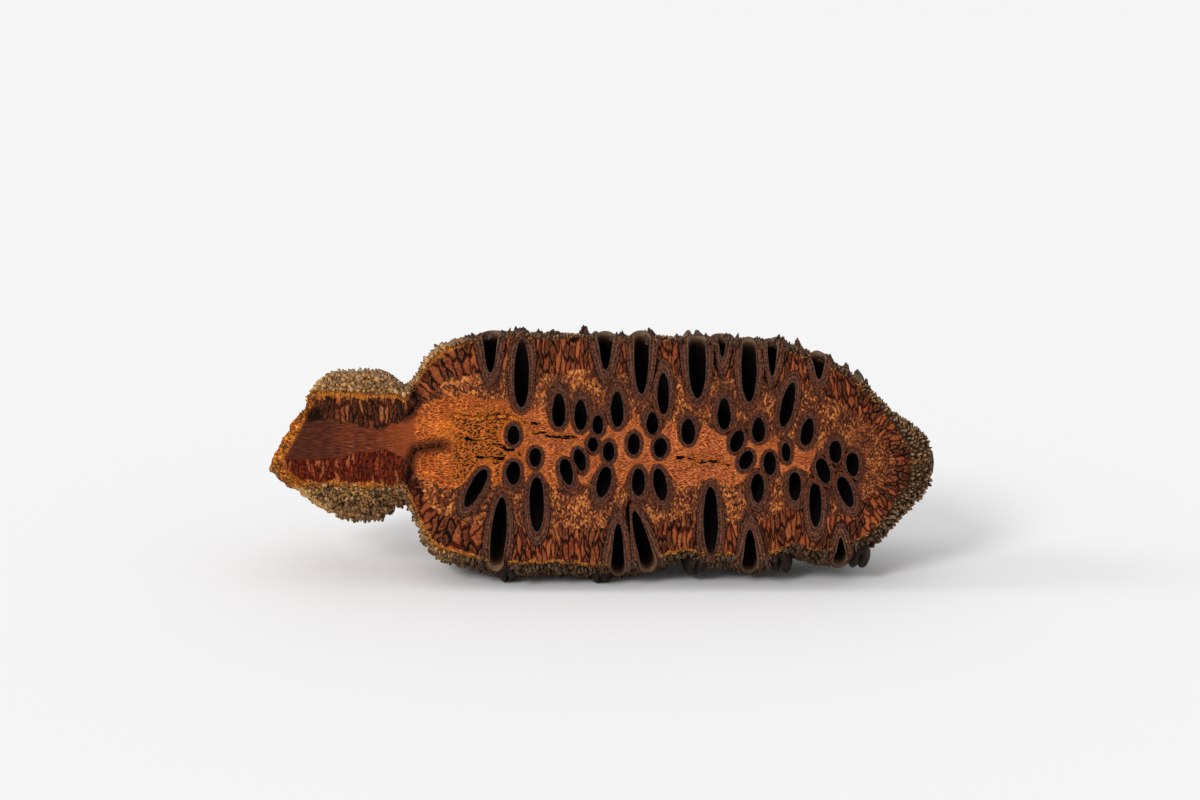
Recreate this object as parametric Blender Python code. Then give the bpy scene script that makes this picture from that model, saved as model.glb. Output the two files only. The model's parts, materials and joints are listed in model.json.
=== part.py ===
"""A dry banksia cone sawn lengthwise: woody axis, packed bracts and the follicles that the saw opened.

The cone lies along X, stalk at -X. It is drawn in its own frame: Y runs from the sawn face into the cone,
Z runs up the face, and the saw plane is Y = 0. Then the whole cone is leaned back and stood on the floor.
Sizes are in millimetres and are turned to metres when a mesh is made.
"""
import math

import bmesh
import bpy
from mathutils import Matrix, Vector

MM = 0.001
SEAM = 0.3                  # gap between neighbouring pieces
LEAN = math.radians(18)     # the sawn face leans back by this much
FLOOR_DROP = 39.6           # height of the cone's axis above the floor it lies on
PLACE = (-0.5, -22.1)       # where the saw plane's middle stands, so that the footprint is centred

# Station along the cone: x, outer radius, height of the centre, depth of the centre behind the saw plane.
BODY = (
    (-110, 22.5, 2.5, 18), (-93, 23.0, 2.5, 18), (-80, 23.2, 2.5, 18), (-67, 23.2, 2.5, 18),
    (-63, 21.2, 2.5, 17), (-60, 26.5, 1.0, 15), (-56, 31.0, 0.0, 14), (-52, 34.2, -0.3, 14),
    (-41, 37.2, 0.0, 14), (-30, 38.5, -0.3, 14), (-15, 38.6, -0.6, 14), (0, 38.5, -0.9, 14),
    (15, 37.6, -0.4, 14), (30, 36.8, 0.0, 14), (40, 36.9, -0.6, 14), (50, 36.8, -1.0, 14),
    (62, 34.4, -0.8, 14), (74, 32.0, -3.6, 14), (81, 28.8, -4.8, 14), (88, 23.1, -5.2, 14),
    (94, 17.2, -4.8, 14), (99, 13.2, -4.0, 14), (103, 9.6, -3.6, 14), (106, 4.6, -3.4, 14),
)
TIP = 107.0
BODY_SIDES = 36

# The same for the woody axis inside it.
AXIS = (
    (-110, 19.0, 3.0, 18), (-90, 19.0, 3.0, 18), (-67, 18.6, 3.0, 18), (-56, 19.2, 2.4, 15),
    (-43, 20.0, 1.6, 14), (-20, 19.0, 0.4, 14), (0, 18.0, -0.5, 14), (31, 16.8, -1.9, 14),
    (55, 15.7, -2.9, 14), (70, 13.8, -3.4, 14), (78, 9.5, -3.7, 14), (81, 5.5, -3.8, 14),
)
AXIS_TIP = 83.0
AXIS_SIDES = 20

# The torn end of the stalk comes to an edge between two slanted planes: a point and the outward direction.
STALK_END = (((-100, 0, 5.5), (-0.888, 0, 0.46)), ((-106, 0, -6), (-0.584, 0, -0.811)))

# Follicles the saw opened, from the stalk to the tip: x where the follicle meets the saw plane, its angle
# round the cone (0 straight out of the face, + upward), half width, half height and turn in degrees.
FOLLICLES = (
    (-40.5, -40, 1.9, 3.9, 28), (-36.5, 73, 1.7, 3.8, 0), (-33.5, -62, 1.8, 3.8, 5),
    (-29.0, -29, 2.1, 2.9, 0), (-29.0, 16, 1.8, 2.8, 0), (-26.5, 57, 1.9, 3.8, 0),
    (-22.0, -11, 1.8, 3.0, 0), (-21.5, -49, 2.0, 4.0, 0), (-14.5, 40, 1.9, 3.4, 0),
    (-12.0, -27, 1.8, 3.4, -12), (-7.8, -14, 1.7, 3.4, -15), (-7.5, 36, 1.8, 3.2, 0),
    (-3.6, 5, 1.5, 2.3, 0), (-2.0, 28, 1.6, 2.5, 0), (0.0, -36, 2.0, 3.4, 12),
    (0.5, 74, 1.8, 3.8, 0), (1.5, -4, 1.7, 3.1, 0), (4.2, 40, 1.8, 3.6, 0),
    (4.5, -73, 1.5, 3.8, 0), (9.5, 5, 1.8, 3.4, 0), (11.0, -37, 1.9, 2.9, 0),
    (12.0, 65, 1.7, 3.8, 0), (13.5, -68, 1.6, 3.8, -15), (15.5, 29, 1.8, 2.8, 0),
    (17.8, -38, 1.9, 3.3, -10), (18.0, 1, 2.0, 3.2, 5), (19.0, 50, 1.6, 3.0, 0),
    (27.0, 20, 2.0, 3.7, 0), (30.0, 63, 2.0, 3.8, 0), (34.0, -56, 1.8, 3.8, 0),
    (38.0, 77, 1.2, 3.8, 0), (38.5, 37, 1.9, 3.5, 0), (42.5, 9, 1.9, 3.7, 20),
    (45.5, -14, 1.9, 3.0, 25), (46.5, -74, 1.6, 3.8, 0), (46.5, 60, 1.8, 3.8, 0),
    (49.0, -41, 1.9, 2.8, 0), (49.5, 22, 1.9, 3.6, 0), (53.0, -18, 1.8, 3.5, 0),
    (54.0, 72, 1.2, 3.8, 0), (58.3, -5, 1.3, 3.1, -5), (58.6, 43, 1.8, 4.2, 14),
    (61.0, -40, 1.8, 2.8, 0), (65.0, 19, 1.9, 4.1, 12), (67.5, -50, 1.7, 3.1, 0),
    (69.0, 71, 1.6, 3.8, 0), (70.0, -26, 1.9, 3.4, -15), (74.0, -4, 1.9, 3.7, 0),
    (75.5, -76, 1.3, 3.8, 0), (77.0, -44, 1.9, 2.8, -20), (79.5, -19, 1.9, 3.5, -5),
)
AXIS_DEPTH = 14.0           # the cone's axis lies this far behind the saw plane
CHAMBER_BASE = 8.5          # a chamber starts this far from the cone's axis
CHAMBER_FULL = 14.0         # from here outward it has its full width
FLARE = 22.0                # its height doubles over this length
WALL = 1.5                  # follicle wall where it is not pressed by a neighbour
THINNEST_WALL = 0.6
LIP = 1.2                   # how far a follicle's mouth stands out of the rind
CHAMBER_RINGS = (0.3, 1.0)  # where a chamber's rings lie between its base and its full width
CHAMBER_SIDES = 8
FOLLICLE_SIDES = 8
NEIGHBOUR_REACH = 17.0      # follicles closer than this are flattened against each other

# Closed valve lips on the hidden side: columns along the cone and angles round it.
LIP_COLUMNS = (-46, -31, -16, -1, 14, 29, 44, 57, 70, 82)
LIP_ANGLES = (-87, -129, -171, -213, -255)
LIP_STAGGER = 21            # every other column is turned by this much
LIP_REST_ANGLE = -108       # the line it lies on carries no lips
LIP_FIRST_ANGLE = -80       # the saw took the lips nearer than this
LIP_HALF_WIDTH = 3.6
LIP_HALF_LENGTH = 8.0
LIP_RISE = 4.0
LIP_RISE_FAR = 6.0          # the narrower half of the cone has taller lips
LIP_FAR_X = 20


def remove_everything():
    for thing in list(bpy.data.objects):
        bpy.data.objects.remove(thing, do_unlink=True)


def new_collection(name):
    collection = bpy.data.collections.new(name)
    bpy.context.scene.collection.children.link(collection)
    return collection


def material(name, colour, roughness):
    made = bpy.data.materials.new(name)
    made.use_nodes = True
    shader = made.node_tree.nodes["Principled BSDF"]
    shader.inputs["Base Color"].default_value = (*colour, 1)
    shader.inputs["Roughness"].default_value = roughness
    shader.inputs["Metallic"].default_value = 0
    made.diffuse_color = (*colour, 1)
    return made


def station(stations, x):
    """The stations' values at x, on a smooth curve through them."""
    last = len(stations) - 2
    i = 0
    while i < last and x > stations[i + 1][0]:
        i += 1
    here = stations[i]
    there = stations[i + 1]
    before = stations[max(i - 1, 0)]
    after = stations[min(i + 2, last + 1)]
    span = there[0] - here[0]
    t = (x - here[0]) / span
    values = []
    for k in range(1, len(here)):
        leave = (there[k] - before[k]) / (there[0] - before[0]) * span
        arrive = (after[k] - here[k]) / (after[0] - here[0]) * span
        values.append(
            (2 * t**3 - 3 * t**2 + 1) * here[k] + (t**3 - 2 * t**2 + t) * leave
            + (3 * t**2 - 2 * t**3) * there[k] + (t**3 - t**2) * arrive
        )
    return values


def around(x, radius, height, depth, sides):
    """A ring of points round the cone's axis at x."""
    points = []
    for k in range(sides):
        angle = 2 * math.pi * k / sides
        points.append(Vector((x, depth - radius * math.cos(angle), height + radius * math.sin(angle))))
    return points


def loft(rings, first=None, last=None):
    """A closed skin over the rings, ending in points or in flat caps. Every skin is split into triangles
    the same way, so that one grown round another stays clear of it."""
    mesh = bmesh.new()
    made = [[mesh.verts.new(point * MM) for point in ring] for ring in rings]
    count = len(rings[0])
    for ring, following in zip(made, made[1:]):
        for k in range(count):
            after = (k + 1) % count
            mesh.faces.new((ring[k], following[k], following[after]))
            mesh.faces.new((ring[k], following[after], ring[after]))
    for ring, pole in ((made[0], first), (made[-1], last)):
        if pole is None:
            mesh.faces.new(ring)
            continue
        centre = mesh.verts.new(pole * MM)
        for k in range(count):
            mesh.faces.new((ring[k], ring[(k + 1) % count], centre))
    bmesh.ops.recalc_face_normals(mesh, faces=mesh.faces)
    return mesh


def slice_off(mesh, point, outward):
    """Cuts away what lies on the outward side of a plane and closes the cut."""
    everything = mesh.verts[:] + mesh.edges[:] + mesh.faces[:]
    cut = bmesh.ops.bisect_plane(
        mesh, geom=everything, plane_co=Vector(point) * MM, plane_no=Vector(outward), clear_outer=True
    )
    rim = [part for part in cut["geom_cut"] if isinstance(part, bmesh.types.BMEdge)]
    if rim:
        bmesh.ops.holes_fill(mesh, edges=rim)
    bmesh.ops.remove_doubles(mesh, verts=mesh.verts, dist=1e-6)
    bmesh.ops.recalc_face_normals(mesh, faces=mesh.faces)


def finish(mesh, name, collection, surface, root):
    """The mesh as a named object that hangs on the leaning root."""
    data = bpy.data.meshes.new(name)
    mesh.to_mesh(data)
    mesh.free()
    data.materials.append(surface)
    made = bpy.data.objects.new(name, data)
    collection.objects.link(made)
    made.parent = root
    return made


def as_cutter(thing):
    thing.hide_render = True
    thing.display_type = "WIRE"


def boolean(thing, operation, other=None, group=None):
    modifier = thing.modifiers.new(operation.lower(), "BOOLEAN")
    modifier.operation = operation
    modifier.solver = "EXACT"
    if group:
        modifier.operand_type = "COLLECTION"
        modifier.collection = group
    else:
        modifier.object = other


def drop_crumbs(thing):
    """Settles the Booleans and keeps the largest body, without the crumbs that break off between pockets."""
    seen = thing.evaluated_get(bpy.context.evaluated_depsgraph_get())
    mesh = bmesh.new()
    mesh.from_mesh(seen.to_mesh())
    left = set(mesh.verts)
    bodies = []
    while left:
        body = {left.pop()}
        edge_of_body = list(body)
        while edge_of_body:
            vertex = edge_of_body.pop()
            for edge in vertex.link_edges:
                other = edge.other_vert(vertex)
                if other in left:
                    left.remove(other)
                    body.add(other)
                    edge_of_body.append(other)
        bodies.append(body)
    largest = max(bodies, key=len)
    crumbs = [vertex for vertex in mesh.verts if vertex not in largest]
    bmesh.ops.delete(mesh, geom=crumbs, context="VERTS")
    thing.modifiers.clear()
    mesh.to_mesh(thing.data)
    mesh.free()


class Follicle:
    """One woody fruit: a flattened chamber that runs outward from the cone's axis."""

    def __init__(self, x, angle, half_width, half_height, turn):
        self.x = x
        self.angle = math.radians(angle)
        self.half_width = half_width
        self.half_height = half_height
        turn = math.radians(turn)
        lean = turn * math.sin(self.angle)
        twist = turn * math.cos(self.angle)
        out = Vector((0, -math.cos(self.angle), math.sin(self.angle)))
        tall = Vector((0, math.sin(self.angle), math.cos(self.angle)))
        wide = Vector((1, 0, 0))
        self.out = out * math.cos(lean) + wide * math.sin(lean)
        wide = wide * math.cos(lean) - out * math.sin(lean)
        self.tall = tall * math.cos(twist) + wide * math.sin(twist)
        self.wide = wide * math.cos(twist) - tall * math.sin(twist)
        self.crossing = AXIS_DEPTH / math.cos(self.angle)
        self.middle = Vector((x, 0, AXIS_DEPTH * math.tan(self.angle)))
        radius, height, depth = station(BODY, x)
        self.mouth = radius + LIP + height * math.sin(self.angle)

    def at(self, reach):
        """The follicle's centre line at this distance from the cone's axis."""
        return self.middle + self.out * (reach - self.crossing)

    def flare(self, reach):
        return self.half_height * (1 + (reach - CHAMBER_FULL) / FLARE)

    def shape(self, grown, mouth, sides):
        """A skin round the chamber, grown by this much, from its base to its mouth."""
        base = CHAMBER_BASE - grown
        depth = CHAMBER_FULL - base
        rings = []
        for share in CHAMBER_RINGS:
            reach = base + depth * share
            fullness = math.sqrt(1 - (1 - share) ** 2)
            rings.append((reach, fullness))
        rings.append((mouth, 1.0))
        skin = []
        for reach, fullness in rings:
            wide = (self.half_width + grown) * fullness
            tall = (self.flare(reach) + grown) * fullness
            ring = []
            for k in range(sides):
                turn = 2 * math.pi * (k + 0.5) / sides
                ring.append(
                    self.at(reach) + self.wide * (wide * math.cos(turn)) + self.tall * (tall * math.sin(turn))
                )
            skin.append(ring)
        return loft(skin, first=self.at(base))

    def press(self, mesh, others, clearance):
        """Flattens the skin where neighbouring follicles grew against it."""
        reach = CHAMBER_FULL
        for other in others:
            along = other.x - self.x
            turned = other.angle - self.angle
            apart = math.hypot(along, reach * turned)
            if other is self or apart > NEIGHBOUR_REACH:
                continue
            wide = along / apart
            tall = reach * turned / apart
            own = math.hypot(self.half_width * wide, self.half_height * tall)
            theirs = math.hypot(other.half_width * wide, other.half_height * tall)
            share = own / (own + theirs)
            angle = self.angle + turned * share
            point = Vector((self.x + along * share, AXIS_DEPTH, 0))
            outward = Vector((wide, math.sin(angle) * tall, math.cos(angle) * tall))
            slice_off(mesh, point - outward * clearance, outward)


def build_long_piece(stations, tip, sides, grown=0.0):
    """The body or the axis as a loft along the cone, before any cut."""
    rings = []
    for x, *_ in stations:
        radius, height, depth = station(stations, x)
        rings.append(around(x, radius + grown, height, depth, sides))
    _, _, height, depth = stations[-1]
    return loft(rings, last=Vector((tip + grown, depth, height)))


def saw(mesh):
    """Breaks off the stalk's end and saws the cone along its length."""
    for point, outward in STALK_END:
        slice_off(mesh, point, outward)
    slice_off(mesh, (0, 0, 0), (0, -1, 0))
    return mesh


def build_axis(collection, surface, root):
    skin = saw(build_long_piece(AXIS, AXIS_TIP, AXIS_SIDES))
    return finish(skin, "woody_axis", collection, surface, root)


def build_bracts(collection, surface, root):
    skin = saw(build_long_piece(BODY, TIP, BODY_SIDES))
    return finish(skin, "bract_mass", collection, surface, root)


def build_follicles(collection, chambers, surface, root):
    """The sawn follicles, each with its own wall and chamber. Returns them as (follicle, object)."""
    follicles = [Follicle(*row) for row in FOLLICLES]
    made = []
    for number, follicle in enumerate(follicles, start=1):
        skin = follicle.shape(WALL, follicle.mouth, FOLLICLE_SIDES)
        follicle.press(skin, follicles, SEAM / 2)
        slice_off(skin, (0, 0, 0), (0, -1, 0))
        cup = finish(skin, f"follicle_{number:02d}", collection, surface, root)
        hollow = follicle.shape(0, follicle.mouth + LIP, CHAMBER_SIDES)
        follicle.press(hollow, follicles, SEAM / 2 + THINNEST_WALL)
        chamber = finish(hollow, f"chamber_{number:02d}", chambers, surface, root)
        as_cutter(chamber)
        boolean(cup, "DIFFERENCE", other=chamber)
        made.append(follicle)
    return made


def build_pockets(follicles, pockets, surface, root):
    """The room that each follicle takes up in the axis and the bracts, with its seam."""
    for number, follicle in enumerate(follicles, start=1):
        skin = follicle.shape(WALL + SEAM, follicle.mouth + 2 * LIP, FOLLICLE_SIDES)
        as_cutter(finish(skin, f"pocket_{number:02d}", pockets, surface, root))


def build_lips(lips, surface, root):
    """Low domes where the follicles that the saw did not reach come out on the hidden side."""
    number = 0
    for column, x in enumerate(LIP_COLUMNS):
        for first_angle in LIP_ANGLES:
            angle = first_angle + LIP_STAGGER * ((column + 1) % 2)
            if angle == LIP_REST_ANGLE or angle > LIP_FIRST_ANGLE:
                continue
            number += 1
            turn = math.radians(angle)
            radius, height, depth = station(BODY, x)
            rise = LIP_RISE_FAR if x > LIP_FAR_X else LIP_RISE
            dome = bmesh.new()
            bmesh.ops.create_uvsphere(dome, u_segments=8, v_segments=4, radius=MM)
            size = Matrix.Diagonal((LIP_HALF_WIDTH, LIP_HALF_LENGTH, rise, 1))
            out = Vector((0, -math.cos(turn), math.sin(turn)))
            across = Vector((0, math.sin(turn), math.cos(turn)))
            facing = Matrix((Vector((1, 0, 0)), across, out)).transposed().to_4x4()
            place = Matrix.Translation((Vector((x, depth, height)) + out * radius) * MM)
            dome.transform(place @ facing @ size)
            bmesh.ops.recalc_face_normals(dome, faces=dome.faces)
            as_cutter(finish(dome, f"lip_{number:02d}", lips, surface, root))


def build_floor(collection, surface, root):
    """The block under the floor that trims the lowest lips to the level the cone lies at."""
    block = bmesh.new()
    bmesh.ops.create_cube(block, size=1.0)
    block.transform(Matrix.Translation((0, 0, -0.5)))
    cutter = finish(block, "floor_level", collection, surface, root)
    cutter.parent = None
    as_cutter(cutter)
    return cutter


def build():
    remove_everything()
    cone = new_collection("banksia_cone")
    chambers = new_collection("chamber_cutters")
    pockets = new_collection("pocket_cutters")
    lips = new_collection("lip_shapes")
    others = new_collection("other_cutters")

    axis_wood = material("axis_wood", (0.42, 0.17, 0.06), 0.75)
    bract = material("bract", (0.13, 0.055, 0.035), 0.85)
    wall = material("follicle_wall", (0.09, 0.045, 0.04), 0.6)

    root = bpy.data.objects.new("lean", None)
    cone.objects.link(root)
    root.rotation_euler = (-LEAN, 0, 0)
    axis_height = AXIS_DEPTH * math.sin(LEAN)
    root.location = Vector((*PLACE, FLOOR_DROP + axis_height)) * MM

    axis = build_axis(cone, axis_wood, root)
    bracts = build_bracts(cone, bract, root)
    follicles = build_follicles(cone, chambers, wall, root)
    build_pockets(follicles, pockets, wall, root)
    build_lips(lips, bract, root)
    bore = finish(build_long_piece(AXIS, AXIS_TIP, AXIS_SIDES, SEAM), "axis_bore", others, wall, root)
    as_cutter(bore)
    floor = build_floor(others, wall, root)

    boolean(bracts, "UNION", group=lips)
    boolean(bracts, "DIFFERENCE", other=bore)
    boolean(bracts, "DIFFERENCE", group=pockets)
    boolean(bracts, "DIFFERENCE", other=floor)
    boolean(axis, "DIFFERENCE", group=pockets)
    drop_crumbs(bracts)
    for thing in cone.objects:
        if thing.type == "MESH":
            thing.data.shade_smooth()
            thing.data.set_sharp_from_angle(angle=math.radians(35))


build()
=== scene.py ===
"""The looks of a dry banksia cone, sawn lengthwise: sawn wood, packed bracts, opened follicles and rind.

Shapes are worked out in the cone's own frame, in millimetres: X runs along the cone from the stalk to
the tip, Y from the sawn face into the cone, Z up the face, and the saw plane is Y = 0. place() sets them
into the part.
"""
import json
import math

import bmesh
import bpy
import numpy as np
from mathutils import Matrix, Vector

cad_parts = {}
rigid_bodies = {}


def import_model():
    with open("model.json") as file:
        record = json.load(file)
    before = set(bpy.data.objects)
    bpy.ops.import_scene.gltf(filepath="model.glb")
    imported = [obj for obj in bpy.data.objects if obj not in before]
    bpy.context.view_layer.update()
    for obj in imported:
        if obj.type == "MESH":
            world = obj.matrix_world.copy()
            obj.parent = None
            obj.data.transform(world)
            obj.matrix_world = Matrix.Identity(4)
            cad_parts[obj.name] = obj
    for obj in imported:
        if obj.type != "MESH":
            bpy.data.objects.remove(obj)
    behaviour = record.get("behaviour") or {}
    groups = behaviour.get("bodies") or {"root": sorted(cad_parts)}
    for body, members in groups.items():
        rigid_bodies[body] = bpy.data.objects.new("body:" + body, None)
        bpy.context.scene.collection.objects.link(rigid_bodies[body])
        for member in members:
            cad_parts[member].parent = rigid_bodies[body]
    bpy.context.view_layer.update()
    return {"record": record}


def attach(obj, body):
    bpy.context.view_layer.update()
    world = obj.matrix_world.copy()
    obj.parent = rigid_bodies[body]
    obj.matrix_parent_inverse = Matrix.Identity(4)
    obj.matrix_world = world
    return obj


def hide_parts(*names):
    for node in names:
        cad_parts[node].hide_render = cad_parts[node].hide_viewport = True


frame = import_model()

MM = 0.001
MOUNT_POINT = Vector((-80, 0, 3))       # the sawn_face mount in the cone's own frame
MOUNT = frame["record"]["mounts"][0]
LEAN = math.atan2(MOUNT["axis"][2], -MOUNT["axis"][1])
TO_PART = Matrix.Rotation(-LEAN, 3, "X")
CONE_ORIGIN = Vector(MOUNT["pos_m"]) - TO_PART @ MOUNT_POINT * MM

# Station along the cone: x, outer radius, height of the centre, depth of the centre behind the saw plane.
BODY = (
    (-112, 19.5, 3.2, 13.5), (-96, 21.0, 3.2, 15), (-88, 22.6, 3.0, 17.4), (-80, 23.2, 2.8, 18),
    (-73, 22.6, 2.6, 17.2), (-67, 19.4, 2.6, 13.0), (-63.5, 17.6, 2.6, 11.0), (-60, 23.5, 1.0, 12.0),
    (-56.5, 30.0, 0.0, 14), (-52, 34.0, -0.3, 14),
    (-41, 37.2, 0.0, 14), (-30, 38.5, -0.3, 14), (-15, 38.6, -0.6, 14), (0, 38.5, -0.9, 14),
    (15, 37.6, -0.4, 14), (30, 36.8, 0.0, 14), (40, 36.9, -0.6, 14), (50, 36.8, -1.0, 14),
    (62, 34.4, -0.8, 14), (74, 32.0, -3.6, 14), (81, 28.8, -4.8, 14), (88, 23.1, -5.2, 14),
    (94, 17.2, -4.8, 14), (99, 13.2, -4.0, 14), (103, 9.6, -3.6, 14), (106, 4.6, -3.4, 14),
)
# The core wood, in the same way.
AXIS = (
    (-112, 19.0, 3.0, 18), (-90, 19.0, 3.0, 18), (-67, 18.6, 3.0, 18), (-56, 19.2, 2.4, 15),
    (-43, 20.0, 1.6, 14), (-20, 19.0, 0.4, 14), (0, 18.0, -0.5, 14), (31, 16.8, -1.9, 14),
    (55, 15.7, -2.9, 14), (70, 13.8, -3.4, 14), (78, 9.5, -3.7, 14), (81, 5.5, -3.8, 14),
)
# The two slanted planes that the stalk is torn off along: a point on each and its outward direction.
STALK_END = (((-100, 0, 5.5), (-0.888, 0, 0.46)), ((-106, 0, -6), (-0.584, 0, -0.811)))

# Follicles the saw opened: x where each meets the saw plane, its angle round the cone (0 straight out of the
# face, + upward), half width, half height and turn in degrees.
FOLLICLES = (
    (-40.5, -40, 1.9, 3.9, 28), (-36.5, 73, 1.7, 3.8, 0), (-33.5, -62, 1.8, 3.8, 5),
    (-29.0, -29, 2.1, 2.9, 0), (-29.0, 16, 1.8, 2.8, 0), (-26.5, 57, 1.9, 3.8, 0),
    (-22.0, -11, 1.8, 3.0, 0), (-21.5, -49, 2.0, 4.0, 0), (-14.5, 40, 1.9, 3.4, 0),
    (-12.0, -27, 1.8, 3.4, -12), (-7.8, -14, 1.7, 3.4, -15), (-7.5, 36, 1.8, 3.2, 0),
    (-3.6, 5, 1.5, 2.3, 0), (-2.0, 28, 1.6, 2.5, 0), (0.0, -36, 2.0, 3.4, 12),
    (0.5, 74, 1.8, 3.8, 0), (1.5, -4, 1.7, 3.1, 0), (4.2, 40, 1.8, 3.6, 0),
    (4.5, -73, 1.5, 3.8, 0), (9.5, 5, 1.8, 3.4, 0), (11.0, -37, 1.9, 2.9, 0),
    (12.0, 65, 1.7, 3.8, 0), (13.5, -68, 1.6, 3.8, -15), (15.5, 29, 1.8, 2.8, 0),
    (17.8, -38, 1.9, 3.3, -10), (18.0, 1, 2.0, 3.2, 5), (19.0, 50, 1.6, 3.0, 0),
    (27.0, 20, 2.0, 3.7, 0), (30.0, 63, 2.0, 3.8, 0), (34.0, -56, 1.8, 3.8, 0),
    (38.0, 77, 1.2, 3.8, 0), (38.5, 37, 1.9, 3.5, 0), (42.5, 9, 1.9, 3.7, 20),
    (45.5, -14, 1.9, 3.0, 25), (46.5, -74, 1.6, 3.8, 0), (46.5, 60, 1.8, 3.8, 0),
    (49.0, -41, 1.9, 2.8, 0), (49.5, 22, 1.9, 3.6, 0), (53.0, -18, 1.8, 3.5, 0),
    (54.0, 72, 1.2, 3.8, 0), (58.3, -5, 1.3, 3.1, -5), (58.6, 43, 1.8, 4.2, 14),
    (61.0, -40, 1.8, 2.8, 0), (65.0, 19, 1.9, 4.1, 12), (67.5, -50, 1.7, 3.1, 0),
    (69.0, 71, 1.6, 3.8, 0), (70.0, -26, 1.9, 3.4, -15), (74.0, -4, 1.9, 3.7, 0),
    (75.5, -76, 1.3, 3.8, 0), (77.0, -44, 1.9, 2.8, -20), (79.5, -19, 1.9, 3.5, -5),
)
AXIS_DEPTH = 14.0           # the follicles' common axis lies this far behind the saw plane
CHAMBER_BASE = 8.0          # a chamber starts this far from that axis
CHAMBER_FULL = 14.0         # and has its full section from here on
FLARE = 22.0                # a chamber's height doubles over this much more reach
WALL = 1.25
WALL_GROWTH = 0.078
WALL_MOST = 3.1
THINNEST_WALL = 0.5
SEAM = 0.1                  # the gap between a wall and what is round it
MOUTH_RISE = 1.0            # mouths stand this much above the rind
NEIGHBOUR_REACH = 17.0      # follicles closer than this press on each other
CUP_COLUMNS = 72
OUTER_ROWS = 12             # rows of points up a follicle's outside, over its rim and down inside
RIM_ROWS = 7
INNER_ROWS = 16
OUTSIDE = 40.0              # the depth that is stored for points which are not in a chamber

# The follicles that the saw did not reach: their places along and round the cone, and their lips.
LIP_COLUMNS = (-46, -31, -16, -1, 14, 29, 44, 57, 70, 82)
LIP_ANGLES = (-87, -129, -171, -213, -255)
LIP_STAGGER = 21
LIP_REST_ANGLE = -108
LIP_FIRST_ANGLE = -80
LIP_HALF_WIDTH = 3.6
LIP_HALF_LENGTH = 8.0
LIP_RISE = 4.0
LIP_RISE_FAR = 6.0
LIP_FAR_X = 20

# Shallow hollows in the underside: x, width and depth.
HOLLOWS = ((-10, 5, 0.8), (25, 6, 2.4), (39, 3, 1.2), (59, 6, 2.6), (79, 4, 1.4))

# Splinters of valve wood along the crest of the rind: x, half width, height and lean along the cone. The
# crest lies at this angle round the cone, a little behind the saw plane.
CREST_ANGLE = math.radians(82)
EDGE_SPLINTERS = (
    (-43.2, 2.4, 2.0, -0.5), (-38.7, 1.9, 2.4, 0.5), (-27.0, 3.9, 3.6, -0.1), (-22.6, 2.0, 2.4, 0.6),
    (-16.9, 3.6, 2.4, 0.3), (-7.6, 2.4, 2.8, 0.7), (-4.4, 1.8, 3.6, -0.6), (3.4, 1.9, 2.6, 0.5),
    (7.4, 1.6, 2.8, -0.4),
    (16.8, 2.0, 3.5, -0.7), (25.8, 2.2, 2.3, 0.4), (31.4, 3.4, 2.6, 0.3), (41.6, 2.4, 3.2, -0.5),
    (49.0, 2.6, 2.6, 0.4), (55.4, 2.4, 3.2, 0.6), (60.2, 1.8, 2.4, -0.3), (64.6, 1.7, 4.0, -0.5),
    (71.6, 2.6, 2.8, 0.6), (77.5, 2.0, 2.4, 0.4), (84.5, 1.6, 2.2, 0.4),
)

# Cracks in the sawn wood, as runs of (x, height) points: golden, then black, then the gaps at the shoulder.
GOLD_CRACKS = (
    ((-47.7, 10.6), (-45.0, 9.9), (-42.0, 9.6), (-38.5, 9.5), (-34.0, 10.3), (-29.4, 9.9), (-26.0, 8.2)),
)
BLACK_CRACKS = (
    ((-22.4, 5.1), (-19.5, 4.9), (-17.5, 3.9), (-13.5, 3.8), (-8.6, 3.4)),
    ((-43.9, 3.0), (-41.6, 2.6), (-39.9, 2.9)),
    ((-35.4, 1.5), (-33.0, 0.9), (-31.5, -0.2), (-29.2, -0.5)),
    ((-40.4, -2.7), (-38.5, -3.1), (-36.0, -2.8), (-32.2, -3.1)),
    ((-23.3, 7.7), (-20.3, 7.5)),
    ((23.4, -2.9), (27.0, -3.2), (30.7, -3.9), (36.0, -4.4), (40.3, -5.4)),
)
SHOULDER_GAPS = (
    ((-64.0, 25.0), (-62.0, 19.0), (-59.8, 15.5), (-61.5, 12.0), (-63.5, 10.6)),
    ((-64.5, -15.0), (-62.6, -9.5), (-62.0, -4.0), (-60.3, -0.2), (-56.0, 0.4), (-51.0, 1.0)),
)

FACE_COLUMNS = 150
RIND_COLUMNS = 76
LENGTH_ROWS = 440
TEAR_STEPS = 61             # the torn end's blocks: points each way, half the width, and the thickness
TEAR_REACH = 45
TEAR_THICK = 40
TIP_PITCH = 1.42            # between bract tips
HALVES_MEET = 12.0          # the rind's tips are two pieces, and this x parts them
FIBRE_ON_EDGES = 4200       # how many places for torn fibre are tried
FIBRE_ON_END = 1500
BLADE_LEVELS = 6            # rows of points up a blade or a splinter
BLADE_COLUMNS = 15          # points along a blade, and along a splinter
SPLINTER_COLUMNS = 21
FLAKED_FROM = 20.0          # a mouth has blades where the saw crossed its follicle this far out or more


# ---- numbers ---------------------------------------------------------------------------------------------

def fade(low, high, value):
    """0 below low, 1 above high and smooth between. high may be the smaller one."""
    share = np.clip((value - low) / (high - low), 0, 1)
    return share * share * (3 - 2 * share)


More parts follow.
